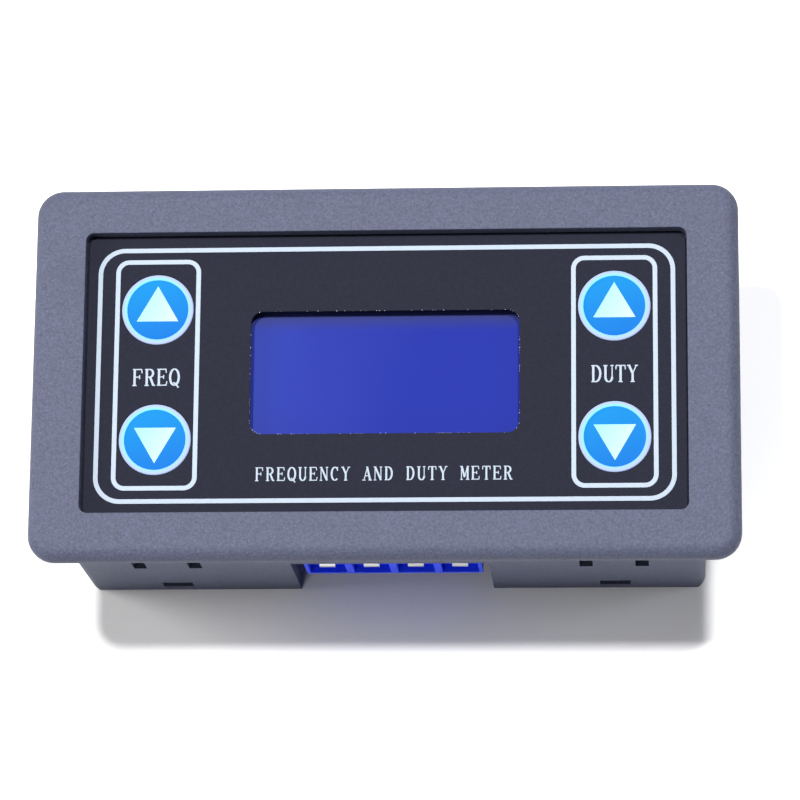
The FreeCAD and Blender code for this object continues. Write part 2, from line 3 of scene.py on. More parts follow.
import bmesh
import bpy
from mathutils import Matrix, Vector


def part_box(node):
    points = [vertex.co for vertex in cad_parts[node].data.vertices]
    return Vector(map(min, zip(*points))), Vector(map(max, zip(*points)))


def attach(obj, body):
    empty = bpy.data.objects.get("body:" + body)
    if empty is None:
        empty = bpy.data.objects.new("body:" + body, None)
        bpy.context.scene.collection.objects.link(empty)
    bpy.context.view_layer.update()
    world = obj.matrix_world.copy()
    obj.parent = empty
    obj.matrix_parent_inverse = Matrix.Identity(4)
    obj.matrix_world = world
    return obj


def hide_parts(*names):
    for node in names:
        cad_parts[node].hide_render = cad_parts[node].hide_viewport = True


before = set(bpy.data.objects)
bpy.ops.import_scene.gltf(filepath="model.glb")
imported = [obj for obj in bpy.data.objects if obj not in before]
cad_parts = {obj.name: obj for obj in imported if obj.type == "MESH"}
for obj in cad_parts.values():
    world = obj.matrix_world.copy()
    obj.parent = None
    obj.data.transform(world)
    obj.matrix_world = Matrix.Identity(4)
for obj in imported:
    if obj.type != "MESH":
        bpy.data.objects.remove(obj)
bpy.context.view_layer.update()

bl_info = {
    "name": "Panel frequency and duty meter",
    "version": (1, 0, 0),
    "blender": (4, 5, 0),
    "location": "3D View > Sidebar > Meter",
    "description": "Finishes a panel frequency and duty meter on its CAD frame",
    "category": "Object",
}

MM = 0.001
KEYS = ("freq_up", "freq_down", "duty_up", "duty_down")
POLES = (1, 2, 3, 4)
LEAD_PITCH = 1.27 * MM


def linear(hex_colour):
    """An sRGB hex colour as linear red, green, blue and alpha."""
    channels = [int(hex_colour[i:i + 2], 16) / 255 for i in (1, 3, 5)]
    low = [c / 12.92 if c <= 0.04045 else ((c + 0.055) / 1.055) ** 2.4 for c in channels]
    return (*low, 1.0)


def colour_setting(name, hex_colour, description):
    """A colour that the user may change, given as sRGB hex."""
    return bpy.props.FloatVectorProperty(
        name=name, description=description, default=linear(hex_colour), size=4,
        min=0.0, max=1.0, subtype="COLOR",
    )


def size_setting(name, millimetres, description):
    """A length that the user may change, given in millimetres and kept in metres."""
    return bpy.props.FloatProperty(
        name=name, description=description, default=millimetres * MM,
        min=0.0, subtype="DISTANCE", unit="LENGTH",
    )


class MeterSizes(bpy.types.PropertyGroup):
    line_width: size_setting("Printed line", 0.51, "Width of the printed white lines")
    ink_height: size_setting("Ink", 0.02, "Height of the screen-printed ink on the overlay")
    frame_width: size_setting("Frame width", 64.8, "Outer width of the large printed frame")
    frame_height: size_setting("Frame height", 29.45, "Outer height of the large printed frame")
    frame_radius: size_setting("Frame corner", 3.0, "Outer corner radius of the large frame")
    box_width: size_setting("Key box width", 9.6, "Outer width of the box printed round two keys")
    box_height: size_setting("Key box height", 26.6, "Outer height of the box round two keys")
    box_radius: size_setting("Key box corner", 1.5, "Outer corner radius of a key box")
    disc_radius: size_setting("Key disc", 3.45, "Radius of the blue disc on a key")
    arrow_side: size_setting("Key arrow", 4.7, "Side of the triangle on a key")
    legend_height: size_setting("Legend capitals", 1.95, "Height of the capitals beside the keys")
    title_height: size_setting("Title capitals", 1.55, "Height of the capitals under the display")
    frame_drop: size_setting("Frame drop", 0.07, "How far the large frame sits below the middle")
    window_width: size_setting("Window width", 30.1, "Width of the film's window")
    window_height: size_setting("Window height", 14.12, "Height of the film's window")
    window_corner: size_setting("Window corner", 1.4, "Corner radius of the film's window")
    window_rise: size_setting("Window rise", 0.11, "How far the window sits above the middle")
    burr_size: size_setting("Film burr", 0.04, "Size of the white burrs on the die-cut window")
    screw_pitch: size_setting("Screw pitch", 0.45, "Thread pitch of the terminal screws")


class MeterColours(bpy.types.PropertyGroup):
    case: colour_setting("Case", "#43475A", "Grey of the moulded case")
    film: colour_setting("Overlay film", "#171825", "Black of the printed overlay film")
    ink: colour_setting("White ink", "#939FAC", "White of the printed lines and legends")
    key_blue: colour_setting("Key blue", "#0055A2", "Blue of the key discs")
    key_ring: colour_setting("Key ring", "#8798B4", "Pale ring round a key")
    key_lip: colour_setting("Key lip", "#6EB4BC", "Bright inner edge of the ring, next to the disc")
    display: colour_setting("Display", "#0B1C79", "Blue of the unlit display")
    terminal: colour_setting("Terminal", "#1040F0", "Blue of the terminal block")
    board: colour_setting("Board", "#1D5A34", "Green of the solder mask")


# ---- Small builders ----

def add(tree, kind, inputs=None, **settings):
    """Adds a node with its settings, and its inputs as values or as other nodes' outputs."""
    node = tree.nodes.new(kind)
    for name, value in settings.items():
        setattr(node, name, value)
    for key, value in (inputs or {}).items():
        if isinstance(value, bpy.types.NodeSocket):
            tree.links.new(value, node.inputs[key])
        else:
            node.inputs[key].default_value = value
    return node


def per(length):
    """The texture scale at which one pattern cell is the given length."""
    return 1.0 / length


def calculate(tree, operation, *values):
    """The output of a maths node on values or other nodes' outputs."""
    return add(tree, "ShaderNodeMath", dict(enumerate(values)), operation=operation).outputs[0]


def blend(tree, share, first, second):
    """The output of a colour mix."""
    return add(
        tree, "ShaderNodeMix", {0: share, 6: first, 7: second}, data_type="RGBA"
    ).outputs[2]


def remap(tree, value, low, high, first=0.0, second=1.0):
    """A value's range from low to high carried over to first to second."""
    return add(tree, "ShaderNodeMapRange", {
        "Value": value, "From Min": low, "From Max": high, "To Min": first, "To Max": second,
    }).outputs[0]


def noise(tree, place, cell, detail, **sockets):
    """Noise whose cells have the given length."""
    return add(tree, "ShaderNodeTexNoise", {
        "Vector": place, "Scale": per(cell), "Detail": detail, **sockets,
    }).outputs[0]


def object_place(tree):
    """Object coordinates."""
    return add(tree, "ShaderNodeTexCoord").outputs["Object"]


def shade(name, **sockets):
    """A named material with one surface shader; gives the material, its tree and the shader."""
    material = bpy.data.materials.new(name)
    material.use_nodes = True
    tree = material.node_tree
    tree.nodes.clear()
    shader = add(
        tree, "ShaderNodeBsdfPrincipled", {k.replace("_", " "): v for k, v in sockets.items()}
    )
    add(tree, "ShaderNodeOutputMaterial", {"Surface": shader.outputs[0]})
    return material, tree, shader


def surface(tree, shader, colour, relief, height, roughness=None):
    """Joins a colour, a relief of the given height and a roughness to the shader."""
    tree.links.new(colour, shader.inputs["Base Color"])
    bump = add(tree, "ShaderNodeBump", {"Height": relief, "Distance": height})
    tree.links.new(bump.outputs[0], shader.inputs["Normal"])
    if roughness:
        tree.links.new(roughness, shader.inputs["Roughness"])


METAL = {"Metallic": 1.0}

FINISHES = {
    # name: (two tones, their patches, roughness, its spread, grain, grain height, shader sockets)
    # The tones are hex, or shares of a colour that the user sets. The lengths are in mm.
    # Polyester film with a velvet face, printed black on its back: a fine cloudy tooth
    "velvet_polyester_film": ((0.7, 1.35), 0.4, 0.7, 0.08, 0.16, 0.006, {
        "IOR": 1.5, "Specular_IOR_Level": 0.1,
    }),
    # Screen-printed epoxy ink: a soft bluish white, a little uneven where the mesh pulled off
    "white_screen_ink": ((0.93, 1.05), 0.7, 0.55, 0.1, 0.2, 0.004, {
        "IOR": 1.5, "Specular_IOR_Level": 0.2,
    }),
    # Torn slivers of the film's white backing
    "film_sliver": (("#D8DCEC", "#FFFFFF"), 0.2, 0.6, 0.1, 0.1, 0.002, {}),
    # Rear polariser with its silvery diffusing back
    "diffusing_polariser": (("#8D94A8", "#A4AAB8"), 3, 0.4, 0.05, 0.5, 0.002, {}),
    # Float glass, ground and snapped at its edges, with the pale green of its iron
    "float_glass": (("#D9EBE4", "#E8F3EE"), 5, 0.06, 0.03, 2, 0.001, {
        "IOR": 1.52, "Transmission_Weight": 0.9,
    }),
    # Milky acrylic light guide in its white moulded tray
    "milky_acrylic": (("#E2E4E0", "#F1F2EE"), 4, 0.35, 0.05, 1, 0.002, {
        "IOR": 1.49, "Subsurface_Weight": 0.3, "Subsurface_Scale": 1 * MM,
    }),
    # Closed-cell polyethylene foam: black, dull, with 0.3 mm cells
    "closed_cell_foam": (("#17171A", "#26262A"), 0.4, 0.9, 0.06, 0.3, 0.05, {}),
    # Matt electroplated tin over brass: pale warm silver with a soft satin haze
    "matt_tin_plate": (("#C2C0BC", "#D6D4D0"), 0.8, 0.32, 0.08, 0.12, 0.003, METAL),
    # Sintered alumina: dense matt white
    "alumina": (("#DAD8D2", "#E8E6E2"), 0.4, 0.6, 0.06, 0.1, 0.003, {}),
    # Silica-filled epoxy moulding compound: charcoal black with a fine sandy face
    "epoxy_moulding_compound": (("#1B1B1D", "#29292B"), 0.5, 0.58, 0.1, 0.09, 0.008, {}),
    # Black glass-filled nylon, moulded smooth with a faint flow pattern
    "glass_filled_nylon": (("#1A1A1B", "#252527"), 1.2, 0.42, 0.07, 0.2, 0.006, {}),
    # Rolled stainless strip: cool grey
    "rolled_stainless": (("#A3A5A8", "#B9BBBD"), 0.6, 0.28, 0.07, 0.1, 0.002, METAL),
    # Moulded polyamide 66: strong blue, slightly waxy, with a soft polished sheen
    "moulded_polyamide": ((0.92, 1.08), 2, 0.36, 0.05, 0.25, 0.005, {
        "IOR": 1.53, "Subsurface_Weight": 0.1, "Subsurface_Scale": 0.5 * MM,
    }),
    # Bright zinc plate with a blue passivation
    "blue_passivated_zinc": (("#B4B9C2", "#CDD1D6"), 0.5, 0.26, 0.08, 0.12, 0.003, METAL),
    # Nickel plate on stamped brass: bright silver with faint shear marks
    "nickel_plate": (("#E4E4E4", "#F4F4F5"), 0.7, 0.34, 0.08, 0.1, 0.003, METAL),
    # Copper under the mask: the same gloss, a lighter yellower green
    "masked_copper": (("#2F7A45", "#37864C"), 1, 0.24, 0.04, 0.3, 0.002, {}),
    # Lead-free solder, frozen in a smooth cone: bright grey with a slightly frosted skin
    "lead_free_solder": (("#BDBFC2", "#D2D4D6"), 0.4, 0.22, 0.08, 0.12, 0.004, METAL),
    # Ink-jet epoxy legend: flat white, with a hint of the green below
    "board_legend_ink": (("#D9E2D8", "#ECF0EA"), 0.5, 0.5, 0.08, 0.2, 0.002, {}),
    # Drawn steel, nickel plated: bright
    "drawn_nickel_steel": (("#B5B3AE", "#CBC9C4"), 1.5, 0.24, 0.06, 0.15, 0.002, METAL),
    # Impact-extruded aluminium can: soft bright satin
    "extruded_aluminium": (("#C9CACC", "#DDDEE0"), 2, 0.3, 0.06, 0.2, 0.002, METAL),
    # Black phenolic seat plate
    "moulded_phenolic": (("#18181A", "#242426"), 1, 0.45, 0.08, 0.2, 0.006, {}),
    # Black ink printed on a capacitor's can
    "black_can_print": (("#141416", "#1F1F22"), 0.8, 0.4, 0.05, 0.2, 0.002, {}),
    # Black glass over a resistor's film
    "resistor_overglaze": (("#101013", "#1B1B20"), 0.5, 0.22, 0.06, 0.2, 0.003, {}),
    # Barium titanate: unglazed tan ceramic
    "barium_titanate": (("#A07C55", "#B48F66"), 0.6, 0.55, 0.08, 0.12, 0.004, {}),
}


def finish(name, base=None):
    """A material from the table, made once. Its colour drifts between two tones over patches of
    one size, and its grain has another size and a height, and varies its roughness too."""
    known = bpy.data.materials.get(name)
    if known:
        return known
    tones, patch, roughness, spread, grain, height, sockets = FINISHES[name]
    first, second = [darker(base, tone) if base else linear(tone) for tone in tones]
    material, tree, shader = shade(name, **sockets)
    place = object_place(tree)
    drift = noise(tree, place, patch * MM, 3.0)
    tooth = noise(tree, place, grain * MM, 2.0)
    rough = remap(tree, tooth, 0.0, 1.0, roughness - spread, roughness + spread)
    surface(tree, shader, blend(tree, drift, first, second), tooth, height * MM, rough)
    return material


def darker(colour, share):
    """A colour with its light scaled by a share."""
    return (*[min(1.0, c * share) for c in colour[:3]], 1.0)


def corners(node):
    """Lowest corner, highest corner and middle of a CAD node."""
    low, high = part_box(node)
    return low, high, (low + high) / 2


def outline(width, height, radius, steps=8, x=0.0, y=0.0):
    """Points of a rounded rectangle, anticlockwise."""
    points = []
    for turn, (sx, sy) in enumerate(((1, 1), (-1, 1), (-1, -1), (1, -1))):
        cx, cy = x + sx * (width / 2 - radius), y + sy * (height / 2 - radius)
        for step in range(steps + 1):
            angle = (turn + step / steps) * math.pi / 2
            points.append((cx + radius * math.cos(angle), cy + radius * math.sin(angle)))
    return points


def extrude(bm, points, z0, z1, paint=0):
    """Adds a flat outline as a closed slab between two levels."""
    low = [bm.verts.new((x, y, z0)) for x, y in points]
    high = [bm.verts.new((x, y, z1)) for x, y in points]
    faces = [bm.faces.new(low[::-1]), bm.faces.new(high)]
    count = len(points)
    for i in range(count):
        j = (i + 1) % count
        faces.append(bm.faces.new((low[i], low[j], high[j], high[i])))
    for face in faces:
        face.material_index = paint
    return faces


def brick(bm, low, high, paint=0):
    """Adds a box between two corners."""
    points = ((low[0], low[1]), (high[0], low[1]), (high[0], high[1]), (low[0], high[1]))
    return extrude(bm, points, low[2], high[2], paint)


def loft(bm, loops):
    """Adds a closed solid through loops of places, each with the same count."""
    rings = [[bm.verts.new(place) for place in loop] for loop in loops]
    bm.faces.new(rings[0])
    bm.faces.new(rings[-1][::-1])
    for a, b in zip(rings, rings[1:]):
        for i in range(len(a)):
            j = (i + 1) % len(a)
            bm.faces.new((a[i], b[i], b[j], a[j]))


def lathe(bm, profile, x=0.0, y=0.0, steps=40, paints=None):
    """Adds a solid turned about an upright axis, from radii and levels that run axis to axis."""
    rings = []
    for radius, z in profile:
        if radius < 1e-9:
            rings.append([bm.verts.new((x, y, z))])
        else:
            turn = [2 * math.pi * s / steps for s in range(steps)]
            rings.append([
                bm.verts.new((x + radius * math.cos(a), y + radius * math.sin(a), z)) for a in turn
            ])
    for index, (a, b) in enumerate(zip(rings, rings[1:])):
        for s in range(steps):
            t = (s + 1) % steps
            if len(a) == 1 and len(b) == 1:
                continue
            if len(a) == 1:
                face = bm.faces.new((a[0], b[s], b[t]))
            elif len(b) == 1:
                face = bm.faces.new((a[s], b[0], a[t]))
            else:
                face = bm.faces.new((a[s], b[s], b[t], a[t]))
            face.material_index = paints[index] if paints else 0


def to_mesh(bm, name, smooth_to=35):
    """Turns a bmesh into a mesh with outward faces, smooth where it bends less than the angle."""
    bmesh.ops.recalc_face_normals(bm, faces=bm.faces)
    mesh = bpy.data.meshes.new(name)
    bm.to_mesh(mesh)
    bm.free()
    mesh.shade_smooth()
    mesh.set_sharp_from_angle(angle=math.radians(smooth_to))
    return mesh


def put(name, data):
    """A new object in the scene."""
    thing = bpy.data.objects.new(name, data)
    bpy.context.scene.collection.objects.link(thing)
    return thing


def carved(thing, tool, smooth_to):
    """The mesh of an object with its modifiers applied and another mesh cut out of it."""
    blade = put("blade", tool)
    cut = thing.modifiers.new("cut", "BOOLEAN")
    cut.object = blade
    cut.solver = "EXACT"
    graph = bpy.context.evaluated_depsgraph_get()
    mesh = bpy.data.meshes.new_from_object(thing.evaluated_get(graph))
    mesh.set_sharp_from_angle(angle=math.radians(smooth_to))
    thing.modifiers.clear()
    bpy.data.objects.remove(blade)
    return mesh


def piece(name, mesh, materials, body, stands_for=(), edge=0.0):
    """Puts a finished mesh in the scene on its body, with its materials and its CAD stand-ins."""
    thing = put(name, mesh)
    if not mesh.materials:
        for material in materials:
            mesh.materials.append(material)
    if edge:
        soft = thing.modifiers.new("edges", "BEVEL")
        soft.width = edge
        soft.segments = 2
        soft.limit_method = "ANGLE"
        soft.harden_normals = True
    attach(thing, body)
    if stands_for:
        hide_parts(*stands_for)
    return thing


def coat(material, *nodes):
    """Gives CAD nodes a material."""
    for name in nodes:
        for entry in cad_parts[name].material_slots:
            entry.material = material


def new_tree(name, inputs):
    """A geometry tree with named inputs; gives the tree and its input node."""
    tree = bpy.data.node_groups.new(name, "GeometryNodeTree")
    tree.is_modifier = True
    tree.interface.new_socket(name="Geometry", in_out="OUTPUT", socket_type="NodeSocketGeometry")
    tree.interface.new_socket(name="Geometry", in_out="INPUT", socket_type="NodeSocketGeometry")
    for label, kind in inputs.items():
        tree.interface.new_socket(name=label, in_out="INPUT", socket_type="NodeSocket" + kind)
    return tree, add(tree, "NodeGroupInput").outputs


def end_tree(tree, geometry, material):
    """Closes a geometry tree: instances made real, then the material set."""
    real = add(tree, "GeometryNodeRealizeInstances", {"Geometry": geometry})
    painted = add(
        tree, "GeometryNodeSetMaterial", {"Geometry": real.outputs[0], "Material": material}
    )
    add(tree, "NodeGroupOutput", {"Geometry": painted.outputs[0]})


def grow(name, tree, values, mesh=None, smooth_to=35):
    """Runs a geometry tree on a mesh with the given input values; gives the plain mesh it makes."""
    source = put(name + "_source", mesh or bpy.data.meshes.new(name + "_start"))
    modifier = source.modifiers.new("grow", "NODES")
    modifier.node_group = tree
    for item in tree.interface.items_tree:
        if item.item_type == "SOCKET" and item.in_out == "INPUT" and item.name in values:
            modifier[item.identifier] = values[item.name]
    graph = bpy.context.evaluated_depsgraph_get()
    made = bpy.data.meshes.new_from_object(source.evaluated_get(graph))
    source.modifiers.remove(modifier)
    bpy.data.objects.remove(source)
    if not made.polygons:
        raise RuntimeError(f"the tree {tree.name} made nothing for {name}")
    made.name = name
    made.shade_smooth()
    made.set_sharp_from_angle(angle=math.radians(smooth_to))
    return made


def scattered(name, mesh, places, material, smooth_to=35):
    """One mesh copied to each place, as a plain mesh."""
    one = put("one_" + name, mesh)
    points = bpy.data.meshes.new(name)
    points.from_pydata(places, [], [])
    tree = bpy.data.node_groups.get("copies_at_points") or copies_tree()
    made = grow(name, tree, {"Copy": one, "Material": material}, points, smooth_to)
    bpy.data.objects.remove(one)
    return made


# ---- Geometry trees ----

def rectangle(tree, width, height):
    """A flat rectangle as a curve."""
    return add(tree, "GeometryNodeCurvePrimitiveQuadrilateral", {
        "Width": width, "Height": height,
    }).outputs[0]


def filleted(tree, curve, count, radius, **limit):
    """A curve with rounded bends."""
    return add(tree, "GeometryNodeFilletCurve", {
        "Curve": curve, "Count": count, "Radius": radius, **limit,
    }, mode="POLY").outputs[0]


def swept(tree, curve, width, height, normal=None, caps=True):
    """A rectangular section swept along a curve, flat or turned to a given normal."""
    if normal:
        held = add(tree, "GeometryNodeSetCurveNormal", {"Curve": curve, "Normal": normal}, mode="FREE")
    else:
        held = add(tree, "GeometryNodeSetCurveNormal", {"Curve": curve}, mode="Z_UP")
    return add(tree, "GeometryNodeCurveToMesh", {
        "Curve": held.outputs[0], "Profile Curve": rectangle(tree, width, height),
        "Fill Caps": caps,
    }).outputs[0]


def moved(tree, geometry, place):
    """A geometry moved by a place."""
    return add(tree, "GeometryNodeTransform", {
        "Geometry": geometry, "Translation": place,
    }).outputs[0]


def frame_tree():
    """A printed line that runs round a rounded rectangle."""
    tree, given = new_tree("printed_frame", {
        "Width": "Float", "Height": "Float", "Corner": "Float", "Line": "Float",
        "Ink": "Float", "Place": "Vector", "Material": "Material",
    })
    half = calculate(tree, "MULTIPLY", given["Line"], 0.5)
    width = calculate(tree, "SUBTRACT", given["Width"], given["Line"])
    height = calculate(tree, "SUBTRACT", given["Height"], given["Line"])
    corner = calculate(tree, "SUBTRACT", given["Corner"], half)
    rounded = filleted(tree, rectangle(tree, width, height), 16, corner)
    ribbon = swept(tree, rounded, given["Line"], given["Ink"], caps=False)
    end_tree(tree, moved(tree, ribbon, given["Place"]), given["Material"])
    return tree


def burr_tree():
    """Specks scattered along a rounded window's cut edge."""
    tree, given = new_tree("die_cut_burrs", {
        "Width": "Float", "Height": "Float", "Corner": "Float", "Spacing": "Float",
        "Share kept": "Float", "Size": "Float", "Place": "Vector", "Seed": "Int",
        "Material": "Material",
    })
    edge = filleted(tree, rectangle(tree, given["Width"], given["Height"]), 8, given["Corner"])
    points = add(tree, "GeometryNodeCurveToPoints", {
        "Curve": edge, "Length": given["Spacing"],
    }, mode="LENGTH")
    here = add(tree, "GeometryNodeInputPosition")
    clumps = noise(tree, here.outputs[0], 9 * MM, 2.0)
    chance = add(tree, "FunctionNodeRandomValue", {"Seed": given["Seed"]}, data_type="FLOAT")
    ragged = calculate(tree, "ADD", chance.outputs[1], clumps)
    halved = calculate(tree, "MULTIPLY", ragged, 0.5)
    dropped = add(tree, "FunctionNodeCompare", {
        0: halved, 1: given["Share kept"],
    }, data_type="FLOAT", operation="GREATER_THAN")
    kept = add(tree, "GeometryNodeDeleteGeometry", {
        "Geometry": points.outputs[0], "Selection": dropped.outputs[0],
    }, domain="POINT")
    speck = add(tree, "GeometryNodeMeshIcoSphere", {"Radius": given["Size"], "Subdivisions": 1})
    grade = add(tree, "FunctionNodeRandomValue", {
        2: 0.35, 3: 1.0, "Seed": given["Seed"],
    }, data_type="FLOAT")
    spin = add(tree, "FunctionNodeRandomValue", {
        0: (0.0, 0.0, 0.0), 1: (6.28, 6.28, 6.28), "Seed": given["Seed"],
    }, data_type="FLOAT_VECTOR")
    copies = add(tree, "GeometryNodeInstanceOnPoints", {
        "Points": kept.outputs[0], "Instance": speck.outputs[0],
        "Rotation": spin.outputs[0], "Scale": grade.outputs[1],
    })
    end_tree(tree, moved(tree, copies.outputs[0], given["Place"]), given["Material"])
    return tree


def copies_tree():
    """A copy of one object at each point of the mesh."""
    tree, given = new_tree("copies_at_points", {"Copy": "Object", "Material": "Material"})
    thing = add(tree, "GeometryNodeObjectInfo", {"Object": given["Copy"], "As Instance": True})
    copies = add(tree, "GeometryNodeInstanceOnPoints", {
        "Points": given["Geometry"], "Instance": thing.outputs["Geometry"],
    })
    end_tree(tree, copies.outputs[0], given["Material"])
    return tree


def row_tree():
    """A lead bent along a path, repeated in a straight row."""
    tree, given = new_tree("row_of_leads", {
        "Width": "Float", "Thickness": "Float", "Bend": "Float", "Count": "Int",
        "First": "Vector", "Step": "Vector", "Material": "Material",
    })
    path = add(tree, "GeometryNodeMeshToCurve", {"Mesh": given["Geometry"]})
    bent = filleted(tree, path.outputs[0], 3, given["Bend"], **{"Limit Radius": True})
    lead = swept(tree, bent, given["Width"], given["Thickness"], (1.0, 0.0, 0.0))
    row = add(tree, "GeometryNodeMeshLine", {
        "Count": given["Count"], "Start Location": given["First"], "Offset": given["Step"],
    }, mode="OFFSET")
    copies = add(tree, "GeometryNodeInstanceOnPoints", {"Points": row.outputs[0], "Instance": lead})
    end_tree(tree, copies.outputs[0], given["Material"])
    return tree


def track_tree():
    """Flat copper tracks that follow the edges of the mesh, with rounded bends."""
    tree, given = new_tree("board_tracks", {
        "Width": "Float", "Thickness": "Float", "Bend": "Float", "Material": "Material",
    })
    path = add(tree, "GeometryNodeMeshToCurve", {"Mesh": given["Geometry"]})
    bent = filleted(tree, path.outputs[0], 4, given["Bend"], **{"Limit Radius": True})
    end_tree(tree, swept(tree, bent, given["Width"], given["Thickness"]), given["Material"])
    return tree


def join_tree():
    """Overlapping strokes joined into one closed body."""
    tree, given = new_tree("joined_strokes", {"Material": "Material"})
    union = add(tree, "GeometryNodeMeshBoolean", operation="UNION", solver="EXACT")
    tree.links.new(given["Geometry"], union.inputs["Mesh 2"])
    union.inputs["Self Intersection"].default_value = True
    end_tree(tree, union.outputs[0], given["Material"])
    return tree


# ---- Lettering: capitals drawn as strokes on a cell 0.64 wide and 1 high ----

STEM, HAIR = 0.13, 0.065
CELL = 0.64


def bow(cx, cy, rx, ry, first, last, steps=14):
    """Points along part of an ellipse, angles in degrees."""
    turn = [math.radians(first + (last - first) * s / steps) for s in range(steps + 1)]
    return [(cx + rx * math.cos(a), cy + ry * math.sin(a)) for a in turn]


def foot(x, y, reach=0.12):
    """The serif across the end of a stem."""
    return (HAIR, [(x - reach, y), (x + reach, y)])


LETTERS = {
    "A": [
        (HAIR, [(0.08, 0), (0.33, 1)]), (STEM, [(0.3, 1), (0.53, 0)]),
        (HAIR, [(0.15, 0.33), (0.46, 0.33)]), foot(0.08, 0.02), foot(0.53, 0.02),
    ],
    "C": [
        (0, bow(0.32, 0.5, 0.24, 0.48, 48, 312)), (HAIR, [(0.5, 0.99), (0.5, 0.7)]),
    ],
    "D": [
        (STEM, [(0.13, 0), (0.13, 1)]), (HAIR, [(0.02, 0.97), (0.28, 0.97)]),
        (HAIR, [(0.02, 0.03), (0.28, 0.03)]), (0, bow(0.26, 0.5, 0.27, 0.47, 90, -90)),
    ],
    "E": [
        (STEM, [(0.13, 0), (0.13, 1)]), (HAIR, [(0.02, 0.97), (0.54, 0.97)]),
        (HAIR, [(0.13, 0.52), (0.4, 0.52)]), (HAIR, [(0.02, 0.03), (0.57, 0.03)]),
        (HAIR, [(0.52, 0.99), (0.55, 0.76)]), (HAIR, [(0.55, 0.01), (0.59, 0.26)]),
        (HAIR, [(0.4, 0.63), (0.4, 0.41)]),
    ],
    "F": [
        (STEM, [(0.13, 0), (0.13, 1)]), (HAIR, [(0.02, 0.97), (0.54, 0.97)]),
        (HAIR, [(0.13, 0.52), (0.42, 0.52)]), (HAIR, [(0.52, 0.99), (0.56, 0.74)]),
        (HAIR, [(0.42, 0.64), (0.42, 0.4)]), foot(0.13, 0.02),
    ],
    "M": [
        (HAIR, [(0.09, 0), (0.09, 1)]), (STEM, [(0.11, 1), (0.31, 0.2)]),
        (HAIR, [(0.31, 0.18), (0.52, 1)]), (STEM, [(0.53, 0), (0.53, 1)]),
        foot(0.09, 0.02, 0.09), foot(0.53, 0.02), foot(0.05, 0.97, 0.06), foot(0.57, 0.97, 0.06),
    ],
    "N": [
        (HAIR, [(0.1, 0), (0.1, 1)]), (STEM, [(0.1, 1), (0.52, 0.02)]),
        (HAIR, [(0.52, 0), (0.52, 1)]), foot(0.1, 0.02, 0.09), foot(0.52, 0.97, 0.09),
        foot(0.06, 0.97, 0.06),
    ],
    "Q": [
        (0, bow(0.32, 0.5, 0.25, 0.48, 0, 360, 28)),
        (0.09, [(0.26, 0.18), (0.42, 0.1), (0.56, -0.12)]),
    ],
    "R": [
        (STEM, [(0.13, 0), (0.13, 1)]), (HAIR, [(0.02, 0.97), (0.3, 0.97)]),
        (0, bow(0.28, 0.74, 0.21, 0.23, 90, -90)), (HAIR, [(0.13, 0.51), (0.3, 0.51)]),
        (STEM, [(0.32, 0.51), (0.52, 0.02)]), foot(0.13, 0.02), foot(0.56, 0.02, 0.07),
    ],
    "T": [
        (STEM, [(0.32, 0), (0.32, 1)]), (HAIR, [(0.05, 0.97), (0.59, 0.97)]),
        (HAIR, [(0.07, 0.99), (0.05, 0.74)]), (HAIR, [(0.57, 0.99), (0.59, 0.74)]),
        foot(0.32, 0.02),
    ],
    "U": [
        (STEM, [(0.14, 1), (0.14, 0.3)]), (HAIR, [(0.52, 0.3), (0.52, 1)]),
        (0, bow(0.33, 0.3, 0.19, 0.28, 180, 360)), foot(0.14, 0.97), foot(0.52, 0.97, 0.09),
    ],
    "Y": [
        (STEM, [(0.11, 1), (0.32, 0.5)]), (HAIR, [(0.54, 1), (0.32, 0.48)]),
        (STEM, [(0.32, 0.52), (0.32, 0)]), foot(0.1, 0.97, 0.1), foot(0.54, 0.97, 0.09),
        foot(0.32, 0.02),
    ],
}


def stroke(points, weight):
    """Outline of a pen stroke; a weight of 0 swells on the upright parts of a bow."""
    left, right = [], []
    for i, (x, y) in enumerate(points):
        before, after = points[max(i - 1, 0)], points[min(i + 1, len(points) - 1)]
        along = Vector((after[0] - before[0], after[1] - before[1])).normalized()
        wide = weight or HAIR + (STEM - HAIR) * abs(along.y)
        left.append((x - along.y * wide / 2, y + along.x * wide / 2))
        right.append((x + along.y * wide / 2, y - along.x * wide / 2))
    return left[::-1] + right


def write(words, middle_x, base_y, height, advance, z0, z1):
    """A line of capitals as a mesh of separate strokes, centred across."""
    bm = bmesh.new()
    start = middle_x - advance * len(words) / 2 + (advance - CELL * height) / 2
    for place, letter in enumerate(words):
        for weight, points in LETTERS.get(letter, []):
            shape = [
                (start + place * advance + x * height, base_y + y * height)
                for x, y in stroke(points, weight)
            ]
            extrude(bm, shape, z0, z1)
    return to_mesh(bm, "strokes")


# ---- Materials ----

